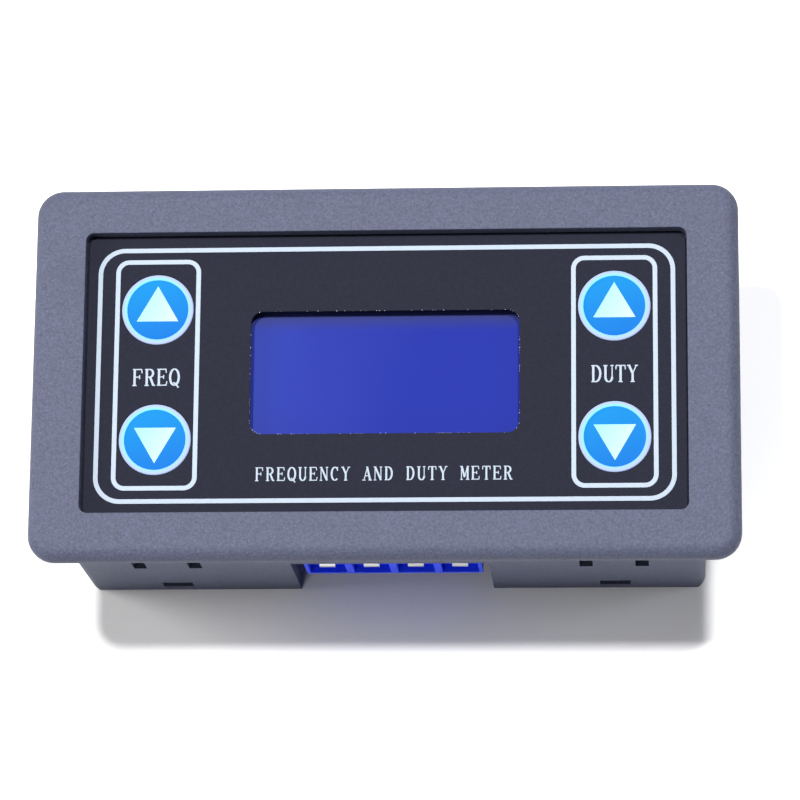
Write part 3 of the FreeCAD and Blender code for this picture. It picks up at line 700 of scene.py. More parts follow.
def spark_eroded_abs(colour):
    """Moulded ABS from a spark-eroded tool: an even matt grey with a fine pebbled grain, a few painted
    highlights as bright pinpricks where a pebble would catch the light, and faint handling marks."""
    material, tree, shader = shade(
        "spark_eroded_abs", IOR=1.54, Roughness=0.7, Specular_IOR_Level=0.25,
    )
    place = object_place(tree)
    # The real pebbles are about 0.1 mm; they are drawn at 0.3 mm so that they show
    pebbles = noise(tree, place, 0.3 * MM, 4.0, Roughness=0.75)
    tone = remap(tree, pebbles, 0.3, 0.7)
    grey = blend(tree, tone, darker(colour, 0.62), darker(colour, 1.4))
    marks = noise(tree, place, 7 * MM, 4.0)
    smear = remap(tree, marks, 0.58, 0.75, 0.0, 0.22)
    handled = blend(tree, smear, grey, darker(colour, 0.7))
    # Painted highlight: the base colour is brightened at each cell centre to stand in for glints off
    # the pebbles
    cells = add(tree, "ShaderNodeTexVoronoi", {"Vector": place, "Scale": per(0.5 * MM)})
    painted_glint = remap(tree, cells.outputs["Distance"], 0.1, 0.2, 0.45, 0.0)
    bright = blend(tree, painted_glint, handled, darker(colour, 1.9))
    rough = remap(tree, pebbles, 0.0, 1.0, 0.55, 0.8)
    surface(tree, shader, bright, pebbles, 0.05 * MM, rough)
    return material


def printed_key(name, centre_colour, edge_colour, centre, reach):
    """Ink on the back of an embossed polyester key: it shades from the light-catching upper left
    to the lower right across the key's own face map."""
    material, tree, shader = shade(name, IOR=1.6, Roughness=0.55, Specular_IOR_Level=0.05)
    face = add(tree, "ShaderNodeSeparateXYZ", {
        0: add(tree, "ShaderNodeUVMap", uv_map="face").outputs[0],
    })
    across = calculate(tree, "MULTIPLY_ADD", face.outputs[0], centre[0], 0.5)
    fall = calculate(tree, "MULTIPLY_ADD", face.outputs[1], centre[1], across)
    ramp = remap(tree, fall, 0.5 - reach, 0.5 + reach)
    peel = noise(tree, object_place(tree), 0.6 * MM, 2.0)
    surface(tree, shader, blend(tree, ramp, edge_colour, centre_colour), peel, 0.004 * MM)
    return material


def display_polariser(colour):
    """Acetate polariser over an unlit blue display: a smooth deep blue, with a painted reflection that
    fades in from the left as a wavering whitish blue patch, and a painted shadow band along the pin
    side at the top."""
    material, tree, shader = shade(
        "display_polariser", IOR=1.48, Roughness=0.5, Specular_IOR_Level=0.06,
    )
    place = object_place(tree)
    # Painted reflection: a whitish blue patch, its edge wavering with noise, fades in from the left
    turned = add(tree, "ShaderNodeMapping", {
        "Vector": place, "Rotation": (0.0, 0.0, math.radians(35)), "Scale": (1.0, 0.35, 1.0),
    })
    reflection_noise = noise(tree, turned.outputs[0], 11 * MM, 1.5, Roughness=0.4)
    across = add(tree, "ShaderNodeSeparateXYZ", {0: place})
    shifted = calculate(tree, "MULTIPLY_ADD", reflection_noise, 14 * MM, across.outputs[0])
    painted_reflection = remap(tree, shifted, -12 * MM, 10 * MM, 1.0, 0.0)
    pale = (colour[0] * 2 + 0.008, colour[1] * 1.7 + 0.008, colour[2] * 1.18, 1.0)
    # Painted shadow: the top band darkens towards #262B50 where the window's edge shades the display
    painted_edge_shade = remap(tree, across.outputs[1], 5.2 * MM, 7.2 * MM, 0.0, 0.85)
    with_reflection = blend(tree, painted_reflection, colour, pale)
    ripple = noise(tree, place, 4 * MM, 1.0)
    surface(tree, shader, blend(tree, painted_edge_shade, with_reflection, linear("#262B50")), ripple, 0.004 * MM)
    return material


def solder_mask(colour):
    """Liquid solder mask on woven glass laminate: glossy green, with the cloth's 0.5 mm weave
    just showing through it."""
    material, tree, shader = shade("solder_mask_on_glass_laminate", IOR=1.52, Roughness=0.25)
    place = object_place(tree)
    warp, weft = [
        add(tree, "ShaderNodeTexWave", {
            "Vector": place, "Scale": per(0.5 * MM * 20 / 3.1416), "Distortion": 0.4,
        }, wave_type="BANDS", bands_direction=way).outputs["Fac"]
        for way in "XY"
    ]
    weave = calculate(tree, "MULTIPLY", warp, weft)
    cloth = blend(tree, weave, darker(colour, 0.85), darker(colour, 1.12))
    surface(tree, shader, cloth, weave, 0.004 * MM)
    return material


# ---- Operators ----

class METER_OT_stage(bpy.types.Operator):
    """Put the camera, the lights and a plain white floor round the meter"""
    bl_idname = "meter.stage"
    bl_label = "Stage"

    def execute(self, context):
        scene = context.scene
        lens = bpy.data.cameras.new("camera")
        lens.lens = 178.32
        lens.clip_start = 0.01
        lens.clip_end = 10
        camera = put("camera", lens)
        camera.location = (31.29 * MM, -109.92 * MM, 451.01 * MM)
        camera.rotation_euler = [math.radians(a) for a in (14.054, 3.838, 0.494)]
        scene.camera = camera
        scene.view_settings.view_transform = "Standard"

        bm = bmesh.new()
        reach, thickness = 2.0, 2 * MM
        brick(bm, (-reach, -reach, -thickness), (reach, reach, 0.0))
        paper = shade("white_paper", Base_Color=linear("#F7F7F8"), Roughness=0.8)[0]
        floor = put("floor", to_mesh(bm, "floor"))
        floor.data.materials.append(paper)

        world = bpy.data.worlds.new("soft_room")
        scene.world = world
        world.use_nodes = True
        world.node_tree.nodes.clear()
        sky = add(world.node_tree, "ShaderNodeBackground", {
            "Color": linear("#F2F4FF"), "Strength": 0.04,
        })
        add(world.node_tree, "ShaderNodeOutputWorld", {"Surface": sky.outputs[0]})

        lamps = {
            # name: (place, size, watts, colour)
            "right_lamp": ((0.18, 0.25, 1.0), 0.08, 9.1, "#FFFFFF"),
            "left_lamp": ((-0.21, 0.19, 1.0), 0.08, 10.4, "#FFFFFF"),
            "left_window": ((-0.8, 0.14, 0.42), 0.5, 6.0, "#FFFCF8"),
            "right_window": ((0.8, 0.1, 0.5), 0.35, 1.5, "#F6F8FF"),
            "front_window": ((-0.35, -0.7, 0.4), 0.5, 2.1, "#FFFFFF"),
            "back_window": ((0.1, 0.9, 0.35), 0.5, 1.5, "#FFFFFF"),
        }
        for name, (place, size, watts, colour) in lamps.items():
            light = bpy.data.lights.new(name, "AREA")
            light.shape = "DISK"
            light.size = size
            light.energy = watts
            light.color = linear(colour)[:3]
            lamp = put(name, light)
            lamp.location = place
            lamp.rotation_euler = (-Vector(place)).to_track_quat("-Z", "Y").to_euler()
        return {"FINISHED"}


class METER_OT_case(bpy.types.Operator):
    """Finish the case and its two latches"""
    bl_idname = "meter.case"
    bl_label = "Case"

    def execute(self, context):
        abs_grey = spark_eroded_abs(context.scene.meter_colours.case)
        coat(abs_grey, "front_case", "panel_latch_left", "panel_latch_right")
        return {"FINISHED"}


class METER_OT_overlay(bpy.types.Operator):
    """Finish the overlay film, print its lines and leave the burrs on its window"""
    bl_idname = "meter.overlay"
    bl_label = "Overlay"

    def execute(self, context):
        sizes, colours = context.scene.meter_sizes, context.scene.meter_colours
        coat(finish("velvet_polyester_film", colours.film), "front_overlay")
        ink = finish("white_screen_ink", colours.ink)
        high = corners("front_overlay")[1]
        level = high.z + sizes.ink_height / 2
        tree = frame_tree()
        key_x = corners("key_cap_duty_up")[2].x
        frames = {
            # name: (width, height, corner radius, middle x, middle y)
            "printed_frame": (
                sizes.frame_width, sizes.frame_height, sizes.frame_radius, 0.0, -sizes.frame_drop,
            ),
            "printed_box_freq": (sizes.box_width, sizes.box_height, sizes.box_radius, -key_x, 0.0),
            "printed_box_duty": (sizes.box_width, sizes.box_height, sizes.box_radius, key_x, 0.0),
        }
        for name, (width, height, radius, x, y) in frames.items():
            mesh = grow(name, tree, {
                "Width": width, "Height": height, "Corner": radius, "Line": sizes.line_width,
                "Ink": sizes.ink_height, "Place": (x, y, level), "Material": ink,
            })
            piece(name, mesh, [ink], "meter")

        sliver = finish("film_sliver")
        mesh = grow("window_burrs", burr_tree(), {
            "Width": sizes.window_width, "Height": sizes.window_height,
            "Corner": sizes.window_corner, "Spacing": 0.3 * MM, "Share kept": 0.4,
            "Size": sizes.burr_size, "Place": (0.0, sizes.window_rise, high.z), "Seed": 7,
            "Material": sliver,
        })
        piece("window_burrs", mesh, [sliver], "meter")

        strokes = join_tree()
        lines = {
            # name: (words, middle x, baseline, cap height, advance)
            "legend_freq": ("FREQ", -key_x, -1.3 * MM, sizes.legend_height, 1.37 * MM),
            "legend_duty": ("DUTY", key_x, -1.3 * MM, sizes.legend_height, 1.33 * MM),
            "title": ("FREQUENCY AND DUTY METER", 0.0, -12.3 * MM, sizes.title_height, 1.2 * MM),
        }
        for name, (words, x, base, height, advance) in lines.items():
            loose = write(words, x, base, height, advance, high.z, high.z + sizes.ink_height)
            mesh = grow(name, strokes, {"Material": ink}, loose)
            piece(name, mesh, [ink], "meter")
        return {"FINISHED"}


class METER_OT_keys(bpy.types.Operator):
    """Build the four embossed keys, each with its ring, disc and arrow"""
    bl_idname = "meter.keys"
    bl_label = "Keys"

    def execute(self, context):
        sizes, colours = context.scene.meter_sizes, context.scene.meter_colours
        ring = printed_key("key_ring_ink", colours.key_ring, linear("#8C9BBE"), (-0.3, 0.3), 0.35)
        lip = printed_key("key_lip_ink", colours.key_lip, linear("#7A9FC6"), (-0.3, 0.3), 0.35)
        disc = printed_key("key_blue_ink", linear("#0070AA"), colours.key_blue, (-0.1, 0.35), 0.4)
        arrow = printed_key("key_arrow_ink", linear("#A4BABC"), linear("#7ABCC0"), (0.4, -0.2), 0.35)
        for key in KEYS:
            low, high, middle = corners("key_cap_" + key)
            radius = (high.x - low.x) / 2
            inner = sizes.disc_radius
            bead, dome = 0.05 * MM, 0.03 * MM
            profile = [(0.0, low.z), (radius, low.z), (radius, high.z - 0.08 * MM)]
            profile += [
                (radius - 0.02 * MM, high.z - 0.02 * MM), (radius - 0.08 * MM, high.z + bead * 0.6),
                (radius - 0.2 * MM, high.z + bead), (inner + 0.24 * MM, high.z + bead),
                (inner + 0.14 * MM, high.z + bead),
                (inner + 0.08 * MM, high.z + bead * 0.6), (inner, high.z),
            ]
            profile += [
                (inner * share, high.z + dome * (1 - share * share))
                for share in (0.85, 0.6, 0.3, 0.0)
            ]
            paints = [0] * 6 + [2] * 3 + [1] * 4
            bm = bmesh.new()
            lathe(bm, profile, middle.x, middle.y, 96, paints)
            self.map_face(bm, middle, radius)
            body = "key_" + key
            piece(
                body, to_mesh(bm, body, 50), [ring, disc, lip], body,
                ["key_cap_" + key],
            )

            way = 1 if key.endswith("up") else -1
            tall = sizes.arrow_side * math.sqrt(3) / 2
            points = [
                (middle.x, middle.y + way * tall * 2 / 3),
                (middle.x - way * sizes.arrow_side / 2, middle.y - way * tall / 3),
                (middle.x + way * sizes.arrow_side / 2, middle.y - way * tall / 3),
            ]
            bm = bmesh.new()
            extrude(bm, points, high.z - 0.02 * MM, high.z + dome + sizes.ink_height)
            self.map_face(bm, middle, radius)
            name = "arrow_" + key
            piece(name, to_mesh(bm, name), [arrow], body)
        return {"FINISHED"}

    def map_face(self, bm, middle, radius):
        """Maps the key's face from its middle: 0 at the middle, 1 at the rim."""
        layer = bm.loops.layers.uv.new("face")
        for face in bm.faces:
            for loop in face.loops:
                place = (loop.vert.co - middle) / radius
                loop[layer].uv = (place.x, place.y)


class METER_OT_display(bpy.types.Operator):
    """Finish the display stack behind the window"""
    bl_idname = "meter.display"
    bl_label = "Display"

    def execute(self, context):
        colours = context.scene.meter_colours
        coat(display_polariser(colours.display), "lcd_front_polariser")
        coat(finish("diffusing_polariser"), "lcd_rear_polariser")
        coat(finish("float_glass"), "lcd_front_glass", "lcd_rear_glass")
        coat(finish("milky_acrylic"), "lcd_backlight")
        coat(finish("closed_cell_foam"), "lcd_gasket")
        coat(finish("matt_tin_plate"), "lcd_pins")
        return {"FINISHED"}


class METER_OT_switches(bpy.types.Operator):
    """Finish the four tactile switches under the keys"""
    bl_idname = "meter.switches"
    bl_label = "Switches"

    def execute(self, context):
        for key in KEYS:
            coat(finish("glass_filled_nylon"), "switch_base_" + key, "switch_stem_" + key)
            coat(finish("rolled_stainless"), "switch_cover_" + key, "switch_dome_" + key)
            coat(finish("matt_tin_plate"), "switch_legs_" + key)
        return {"FINISHED"}


class METER_OT_terminal(bpy.types.Operator):
    """Finish the terminal block and build its grooved screws"""
    bl_idname = "meter.terminal"
    bl_label = "Terminal"

    def execute(self, context):
        sizes, colours = context.scene.meter_sizes, context.scene.meter_colours
        self.softened(
            "terminal_housing", "moulded_terminal",
            finish("moulded_polyamide", colours.terminal), "meter", "terminal_plastic", 0.1 * MM,
        )
        for pole in POLES:
            self.softened(
                f"wire_clamp_{pole}", f"stamped_clamp_{pole}", finish("nickel_plate"),
                f"clamp_{pole}", "clamp_metal", 0.1 * MM, tongue=0.79 * MM, dip=0.55 * MM,
            )
            self.softened(
                f"terminal_pin_{pole}", f"contact_bar_{pole}", finish("matt_tin_plate"),
                "meter", "tinned_metal", 0.12 * MM,
            )
            self.screw(pole, sizes.screw_pitch)
        return {"FINISHED"}

    def softened(self, node, name, material, body, slot, edge, tongue=0.0, dip=0.0):
        """A part as the CAD has it, with its edges rolled over and its front tongue dipped."""
        bm = bmesh.new()
        bm.from_mesh(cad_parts[node].data)
        hair = MM / 1000
        bmesh.ops.remove_doubles(bm, verts=bm.verts, dist=hair)
        if dip:
            front = min(vert.co.y for vert in bm.verts)
            bmesh.ops.bisect_plane(
                bm, geom=bm.verts[:] + bm.edges[:] + bm.faces[:], dist=hair,
                plane_co=(0.0, front + tongue, 0.0), plane_no=(0.0, 1.0, 0.0),
            )
            for vert in bm.verts:
                if vert.co.y < front + tongue / 2:
                    vert.co.z -= dip
        bmesh.ops.dissolve_limit(
            bm, angle_limit=math.radians(1), verts=bm.verts, edges=bm.edges
        )
        mesh = to_mesh(bm, name)
        mesh.materials.clear()
        piece(name, mesh, [material], body, [node], edge)

    def screw(self, pole, pitch):
        """One slotted screw with its thread drawn as rings."""
        node = f"terminal_screw_{pole}"
        low, high, middle = corners(node)
        head, shank, under = (high.x - low.x) / 2, 1.25 * MM, low.z + 1.1 * MM
        soft, root = 0.12 * MM, shank - 0.22 * MM
        profile = [
            (0.0, low.z), (head - soft, low.z), (head, low.z + soft), (head, under - soft / 2),
            (head - soft / 2, under), (shank, under), (root, under + pitch / 3),
        ]
        level = under + pitch / 3
        while level + pitch < high.z - 0.3 * MM:
            profile += [
                (shank, level + pitch * 0.4), (shank, level + pitch * 0.55), (root, level + pitch),
            ]
            level += pitch
        profile += [
            (shank - 0.1 * MM, high.z - 0.25 * MM), (shank - 0.35 * MM, high.z), (0.0, high.z),
        ]
        bm = bmesh.new()
        lathe(bm, profile, middle.x, middle.y, 40)
        turned = put("turned", to_mesh(bm, "turned", 30))
        slot_half, slot_deep = 0.3 * MM, 0.6 * MM
        bm = bmesh.new()
        brick(
            bm, (middle.x - slot_half, middle.y - 2 * head, low.z - slot_deep),
            (middle.x + slot_half, middle.y + 2 * head, low.z + slot_deep),
        )
        mesh = carved(turned, to_mesh(bm, "blade"), 30)
        bpy.data.objects.remove(turned)
        mesh.materials.clear()
        piece(
            f"slotted_screw_{pole}", mesh, [finish("blue_passivated_zinc")], f"screw_{pole}",
            [node], 0.03 * MM,
        )


class METER_OT_board(bpy.types.Operator):
    """Finish the board: solder mask, copper tracks, solder joints and white outlines"""
    bl_idname = "meter.board"
    bl_label = "Board"

    def execute(self, context):
        coat(solder_mask(context.scene.meter_colours.board), "circuit_board")
        back = corners("circuit_board")[0].z
        legs = [place for key in KEYS for place in self.leg_places("switch_legs_" + key)]
        pins = self.pin_places("lcd_pins")
        poles = [corners(f"terminal_pin_{pole}") for pole in POLES]
        pole_pins = [(middle.x, high.y - 0.4 * MM) for _, high, middle in poles]
        self.tracks(back, pins, legs, pole_pins)
        self.joints(back, legs, pins, pole_pins)
        self.outlines(back)
        return {"FINISHED"}

    def leg_places(self, node):
        """Middle of each of a switch's four legs."""
        low, high = corners(node)[:2]
        inset, half = 0.15 * MM, 0.35 * MM
        return [
            (x, y) for x in (low.x + inset, high.x - inset) for y in (low.y + half, high.y - half)
        ]

    def pin_places(self, node):
        """Middle of each display pin."""
        low, high = corners(node)[:2]
        count, half = 12, 0.25 * MM
        first, last = low.x + half, high.x - half
        return [
            (first + (last - first) * i / (count - 1), high.y - half / 2) for i in range(count)
        ]

    def tracks(self, back, pins, legs, pole_pins):
        """Copper tracks from pins to chips, each a path with square bends."""
        chip_low, chip_high, chip = corners("microcontroller")
        first = chip.x - 4.5 * LEAD_PITCH
        signals = []
        for i in range(10):
            x = first + i * LEAD_PITCH
            pin_x, pin_y = pins[i + 1]
            turn = chip_high.y + (1.2 + 0.45 * abs(i - 4.5)) * MM
            meet = min(turn + abs(pin_x - x) * 0.3, pin_y - 1.0 * MM)
            signals.append([
                (x, chip_high.y - 0.4 * MM), (x, turn), (pin_x, meet), (pin_x, pin_y - 0.6 * MM),
            ])
        for i in (0, 2, 3, 5, 7, 9):
            x = first + i * LEAD_PITCH
            drop = chip_low.y - (0.5 + 0.28 * i) * MM
            side = (1.5 if i < 5 else -1.8) * MM
            signals.append([(x, chip_low.y + 0.4 * MM), (x, drop), (x - side, drop)])
        for x, y in legs:
            inward = (-1 if x > 0 else 1) * MM
            bend = x + inward * 1.6
            signals.append([(x, y), (bend, y), (bend + inward, y + 1.0 * MM)])
        power = []
        for index, (x, y) in enumerate(pole_pins):
            rise = y + (3.5 + 0.9 * index) * MM
            power.append([(x, y), (x, y + 1.8 * MM), (x + (5 - 3.4 * index) * MM, rise)])
        copper = finish("masked_copper")
        groups = (("signal_tracks", signals, 0.3 * MM), ("power_tracks", power, 1.1 * MM))
        for name, paths, width in groups:
            points, edges = [], []
            for path in paths:
                start = len(points)
                points += [(x, y, back - 0.01 * MM) for x, y in path]
                edges += [(start + i, start + i + 1) for i in range(len(path) - 1)]
            lines = bpy.data.meshes.new(name)
            lines.from_pydata(points, edges, [])
            mesh = grow(name, track_tree(), {
                "Width": width, "Thickness": 0.06 * MM, "Bend": 0.6 * MM, "Material": copper,
            }, lines)
            piece(name, mesh, [copper], "meter")

    def joints(self, back, legs, pins, pole_pins):
        """Solder fillets round every tail on the back of the board."""
        solder = finish("lead_free_solder")
        groups = {
            # name: (places, foot radius, height, lead half-width)
            "solder_switches": (legs, 0.72 * MM, 0.75 * MM, 0.3 * MM),
            "solder_display": (pins, 0.78 * MM, 0.8 * MM, 0.24 * MM),
            "solder_poles": (pole_pins, 1.15 * MM, 0.2 * MM, 0.55 * MM),
        }
        sunk, rim, steps = 0.02 * MM, 0.04 * MM, 6
        for name, (places, radius, height, lead) in groups.items():
            profile = [(0.0, sunk), (radius, sunk), (radius, -rim)]
            for step in range(1, steps + 1):
                share = step / steps
                profile.append((
                    lead + (radius - lead) * (1 - share) ** 2, -rim - (height - rim) * share,
                ))
            profile.append((0.0, -height))
            bm = bmesh.new()
            lathe(bm, profile, 0.0, 0.0, 20)
            points = [(x, y, back) for x, y in places]
            mesh = scattered(name, to_mesh(bm, "one_joint", 40), points, solder, 40)
            piece(name, mesh, [solder], "meter")

    def outlines(self, back):
        """Printed white outline round each part on the back of the board."""
        legend = finish("board_legend_ink")
        tree = frame_tree()
        parts = {
            # node: margin in mm
            "microcontroller": 0.5, "output_transistor": 0.5, "crystal": 0.45,
            "electrolytic_capacitor": 0.5, "voltage_regulator": 0.4, "reverse_diode": 0.4,
        }
        for node, margin in parts.items():
            low, high, middle = corners(node)
            name = "outline_" + node
            mesh = grow(name, tree, {
                "Width": high.x - low.x + 2 * margin * MM,
                "Height": high.y - low.y + 2 * margin * MM,
                "Corner": 0.4 * MM, "Line": 0.18 * MM, "Ink": 0.03 * MM,
                "Place": (middle.x, middle.y, back - 0.01 * MM), "Material": legend,
            })
            piece(name, mesh, [legend], "meter")


def tapered_body(bm, middle, length, width, top, bottom, draft):
    """A moulded body that tapers both ways from its parting line."""
    loops = []
    for z, inset in ((bottom, draft), ((top + bottom) / 2, 0.0), (top, draft)):
        x, y = length / 2 - inset, width / 2 - inset
        loops.append([
            (middle.x + sx * x, middle.y + sy * y, z)
            for sx, sy in ((-1, -1), (1, -1), (1, 1), (-1, 1))
        ])
    loft(bm, loops)


class METER_OT_chips(bpy.types.Operator):
    """Build the controller and the output driver with their rows of leads"""
    bl_idname = "meter.chips"
    bl_label = "Chips"

    def execute(self, context):
        tin = finish("matt_tin_plate")
        chips = {
            # node: (body length, body width, leads per side, lead reach)
            "microcontroller": (12.8 * MM, 7.5 * MM, 10, 1.4 * MM),
            "output_transistor": (4.9 * MM, 3.9 * MM, 4, 1.05 * MM),
        }
        tree = row_tree()
        for node, (length, width, count, reach) in chips.items():
            low, high, middle = corners(node)
            name = node + "_body"
            bm = bmesh.new()
            tapered_body(bm, middle, length, width, low.z, high.z - 0.15 * MM, 0.12 * MM)
            thing = piece(
                name, to_mesh(bm, name, 20), [finish("epoxy_moulding_compound")], "meter",
                [node], 0.05 * MM,
            )
            self.dimple(thing, middle.x - length / 2, middle.y - width / 2, low.z)
            shoulder, thick = (low.z + high.z) / 2, 0.2 * MM
            for side in (-1, 1):
                name = f"{node}_leads_{'lower' if side < 0 else 'upper'}"
                bend = width / 2 + reach * 0.5
                run = [
                    (0.0, side * (width / 2 - 0.3 * MM), shoulder),
                    (0.0, side * (bend - thick / 2), shoulder),
                    (0.0, side * bend, high.z - thick / 2),
                    (0.0, side * (width / 2 + reach), high.z - thick / 2),
                ]
                path = bpy.data.meshes.new(name)
                path.from_pydata(run, [(0, 1), (1, 2), (2, 3)], [])
                mesh = grow(name, tree, {
                    "Width": 0.4 * MM, "Thickness": thick, "Bend": 0.18 * MM, "Count": count,
                    "First": (middle.x - LEAD_PITCH * (count - 1) / 2, middle.y, 0.0),
                    "Step": (LEAD_PITCH, 0.0, 0.0), "Material": tin,
                }, path)
                piece(name, mesh, [tin], "meter")
        return {"FINISHED"}

    def dimple(self, thing, corner_x, corner_y, top):
        """Presses the round mark beside the first lead."""
        mark, deep = 0.45 * MM, 0.1 * MM
        bm = bmesh.new()
        lathe(
            bm, [(0.0, top + deep), (mark, top + deep), (mark, top - deep), (0.0, top - deep)],
            corner_x + 3 * mark, corner_y + 3 * mark, 24,
        )
        thing.data = carved(thing, to_mesh(bm, "pin"), 25)


class METER_OT_cans(bpy.types.Operator):
    """Build the crystal's can and the electrolytic capacitor"""
    bl_idname = "meter.cans"
    bl_label = "Cans"

    def execute(self, context):
        self.crystal()
        self.capacitor()
        return {"FINISHED"}

    def crystal(self):
        """A drawn can with a long round end at each side, on its flange."""
        low, high, middle = corners("crystal")
        width, length = high.x - low.x, high.y - low.y
        levels = (
            (high.z, 0.0), (high.z - 0.45 * MM, 0.0), (high.z - 0.5 * MM, 0.28 * MM),
            (low.z + 0.6 * MM, 0.32 * MM), (low.z + 0.25 * MM, 0.42 * MM),
            (low.z + 0.06 * MM, 0.68 * MM), (low.z, 1.05 * MM),
        )
        loops = []
        for z, inset in levels:
            narrow = width - 2 * inset
            shape = outline(
                narrow, length - 2 * inset, narrow / 2 * 0.98, 10, middle.x, middle.y
            )
            loops.append([(x, y, z) for x, y in shape])
        bm = bmesh.new()
        loft(bm, loops)
        piece(
            "crystal_can", to_mesh(bm, "crystal_can", 40), [finish("drawn_nickel_steel")],
            "meter", ["crystal"],
        )

    def capacitor(self):
        """A crimped can on a seat plate with two clipped corners, its negative side marked."""
        low, high, middle = corners("electrolytic_capacitor")
        half, clip, seat = (high.x - low.x) / 2, 1.3 * MM, high.z - 0.8 * MM
        shape = [
            (-half, -half), (half - clip, -half), (half, -half + clip), (half, half - clip),
            (half - clip, half), (-half, half),
        ]
        bm = bmesh.new()
        extrude(bm, [(middle.x + x, middle.y + y) for x, y in shape], seat, high.z)
        piece(
            "capacitor_seat", to_mesh(bm, "capacitor_seat"), [finish("moulded_phenolic")],
            "meter", edge=0.1 * MM,
        )
        radius = 3.15 * MM
        profile = [
            (0.0, seat), (radius - 0.25 * MM, seat), (radius, seat - 0.25 * MM),
            (radius, seat - 0.7 * MM), (radius - 0.12 * MM, seat - 0.85 * MM),
            (radius - 0.22 * MM, seat - 1.05 * MM), (radius - 0.12 * MM, seat - 1.25 * MM),
            (radius, seat - 1.4 * MM), (radius, low.z + 0.4 * MM),
            (radius - 0.12 * MM, low.z + 0.12 * MM), (radius - 0.4 * MM, low.z), (0.0, low.z),
        ]
        bm = bmesh.new()
        lathe(bm, profile, middle.x, middle.y, 64)
        piece(
            "capacitor_can", to_mesh(bm, "capacitor_can", 40), [finish("extruded_aluminium")],
            "meter", ["electrolytic_capacitor"],
        )
        reach = radius - 0.42 * MM
        arc = [
            (middle.x + reach * math.cos(a), middle.y + reach * math.sin(a))
            for a in [math.radians(s) for s in range(118, 243, 5)]
        ]
        bm = bmesh.new()
        extrude(bm, arc, low.z - 0.015 * MM, low.z + 0.03 * MM)
        piece(
            "capacitor_mark", to_mesh(bm, "capacitor_mark"), [finish("black_can_print")],
            "meter",
        )


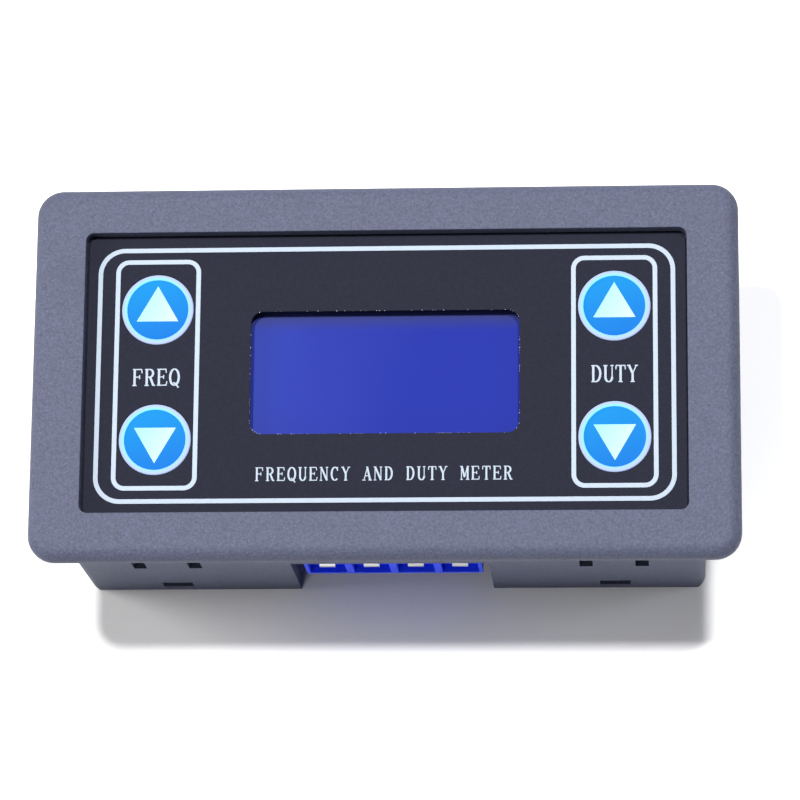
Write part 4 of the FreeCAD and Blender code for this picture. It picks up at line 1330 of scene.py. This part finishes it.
class METER_OT_small_parts(bpy.types.Operator):
    """Build the regulator, the diode, the chip resistors and the chip capacitors"""
    bl_idname = "meter.small_parts"
    bl_label = "Small parts"

    def execute(self, context):
        self.tabbed("voltage_regulator", 2.5 * MM, 4.5 * MM, self.regulator_tabs)
        self.tabbed("reverse_diode", 4.3 * MM, 2.6 * MM, self.diode_tabs)
        # White laser-printed band at the diode's cathode
        low, _, middle = corners("reverse_diode")
        bm = bmesh.new()
        brick(
            bm, (middle.x - 1.7 * MM, middle.y - 1.1 * MM, low.z - 0.015 * MM),
            (middle.x - 1.1 * MM, middle.y + 1.1 * MM, low.z + 0.02 * MM),
        )
        piece(
            "diode_band", to_mesh(bm, "diode_band"), [finish("board_legend_ink")], "meter",
        )

        key_x = corners("key_cap_duty_up")[2].x
        low, high, middle = corners("chip_resistors")
        tall = high.z - low.z
        rows = [-3.3 * MM, -1.1 * MM, 1.1 * MM, 3.3 * MM]
        places = [(side * key_x, y, high.z) for side in (-1, 1) for y in rows]
        # layer: (finish, reach along x or both ends, half width, near and far side)
        self.chips("resistor", places, {
            "bodies": ("alumina", (-0.95, 0.95), 0.6, 0.0, tall - 0.05 * MM),
            "films": ("resistor_overglaze", (-0.6, 0.6), 0.56, tall - 0.06 * MM, tall),
            "ends": ("matt_tin_plate", None, 0.625, 0.0, tall - 0.03 * MM),
        }, "chip_resistor", "chip_resistors")
        low, high, middle = corners("chip_capacitors")
        tall, margin, count = high.z - low.z, 1 * MM, 4
        step = (high.x - low.x - 2 * margin) / (count - 1)
        places = [(low.x + margin + step * i, middle.y, high.z) for i in range(count)]
        self.chips("ceramic", places, {
            "bodies": ("barium_titanate", (-0.62, 0.62), 0.6, 0.0, tall - 0.02 * MM),
            "ends": ("matt_tin_plate", None, 0.625, 0.0, tall),
        }, "chip_ceramic", "chip_capacitors")
        return {"FINISHED"}

    def tabbed(self, node, along_x, along_y, tabs):
        """A moulded body and its flat tabs."""
        low, high, middle = corners(node)
        name = node + "_body"
        bm = bmesh.new()
        tapered_body(bm, middle, along_x, along_y, low.z, high.z - 0.15 * MM, 0.1 * MM)
        piece(
            name, to_mesh(bm, name, 20), [finish("epoxy_moulding_compound")], "meter",
            [node], 0.06 * MM,
        )
        name = node + "_tabs"
        bm = bmesh.new()
        tabs(bm, low, high, middle, along_x / 2, along_y / 4, high.z - 0.3 * MM)
        piece(
            name, to_mesh(bm, name), [finish("matt_tin_plate")], "meter",
            edge=0.04 * MM,
        )

    def regulator_tabs(self, bm, low, high, middle, wall, half, foot):
        """Three narrow leads at one side and one broad tab at the other."""
        for offset in (-1.5, 0.0, 1.5):
            wide = (0.24 if offset else 0.3) * MM
            y = middle.y + offset * MM
            brick(bm, (low.x, y - wide, foot), (middle.x, y + wide, high.z))
        broad = 0.85 * MM
        brick(bm, (middle.x, middle.y - broad, foot), (high.x, middle.y + broad, high.z))

    def diode_tabs(self, bm, low, high, middle, wall, half, foot):
        """A tab at each end, bent up against the body."""
        for side in (-1, 1):
            outer = middle.x + side * (high.x - low.x) / 2
            inner = middle.x + side * (wall - 0.4 * MM)
            side_x = middle.x + side * wall
            folds = (
                (outer, inner, foot, high.z),
                (side_x, side_x + side * 0.2 * MM, (low.z + high.z) / 2, foot),
            )
            for start, end, z0, z1 in folds:
                x0, x1 = sorted((start, end))
                brick(bm, (x0, middle.y - half, z0), (x1, middle.y + half, z1))

    def chips(self, label, places, layers, slot, node):
        """Chip parts at their places: each layer is one shape copied to every place."""
        for layer, (look, reach, half, near, far) in layers.items():
            bm = bmesh.new()
            for x0, x1 in [reach] if reach else [(-1.0, -0.6), (0.6, 1.0)]:
                brick(bm, (x0 * MM, -half * MM, -far), (x1 * MM, half * MM, -near))
            name = f"{label}_{layer}"
            material = finish(look)
            mesh = scattered(name, to_mesh(bm, "one_chip"), places, material)
            stands_for = [node] if layer == "bodies" else ()
            piece(name, mesh, [material], "meter", stands_for, 0.04 * MM)


class METER_PT_panel(bpy.types.Panel):
    """Shows the meter's sizes and colours, and a button for each step"""
    bl_idname = "METER_PT_panel"
    bl_label = "Meter"
    bl_space_type = "VIEW_3D"
    bl_region_type = "UI"
    bl_category = "Meter"

    def draw(self, context):
        layout = self.layout
        for group in (context.scene.meter_sizes, context.scene.meter_colours):
            box = layout.box()
            for name in group.__annotations__:
                box.prop(group, name)
        for operator in OPERATORS:
            layout.operator(operator.bl_idname)


OPERATORS = (
    METER_OT_stage, METER_OT_case, METER_OT_overlay, METER_OT_keys, METER_OT_display,
    METER_OT_switches, METER_OT_terminal, METER_OT_board, METER_OT_chips, METER_OT_cans,
    METER_OT_small_parts,
)
CLASSES = (MeterSizes, MeterColours, *OPERATORS, METER_PT_panel)


def register():
    for item in CLASSES:
        bpy.utils.register_class(item)
    bpy.types.Scene.meter_sizes = bpy.props.PointerProperty(type=MeterSizes)
    bpy.types.Scene.meter_colours = bpy.props.PointerProperty(type=MeterColours)


def unregister():
    del bpy.types.Scene.meter_colours
    del bpy.types.Scene.meter_sizes
    for item in reversed(CLASSES):
        bpy.utils.unregister_class(item)


def main():
    register()
    for operator in OPERATORS:
        getattr(bpy.ops.meter, operator.bl_idname.split(".")[1])()


if __name__ == "__main__":
    main()
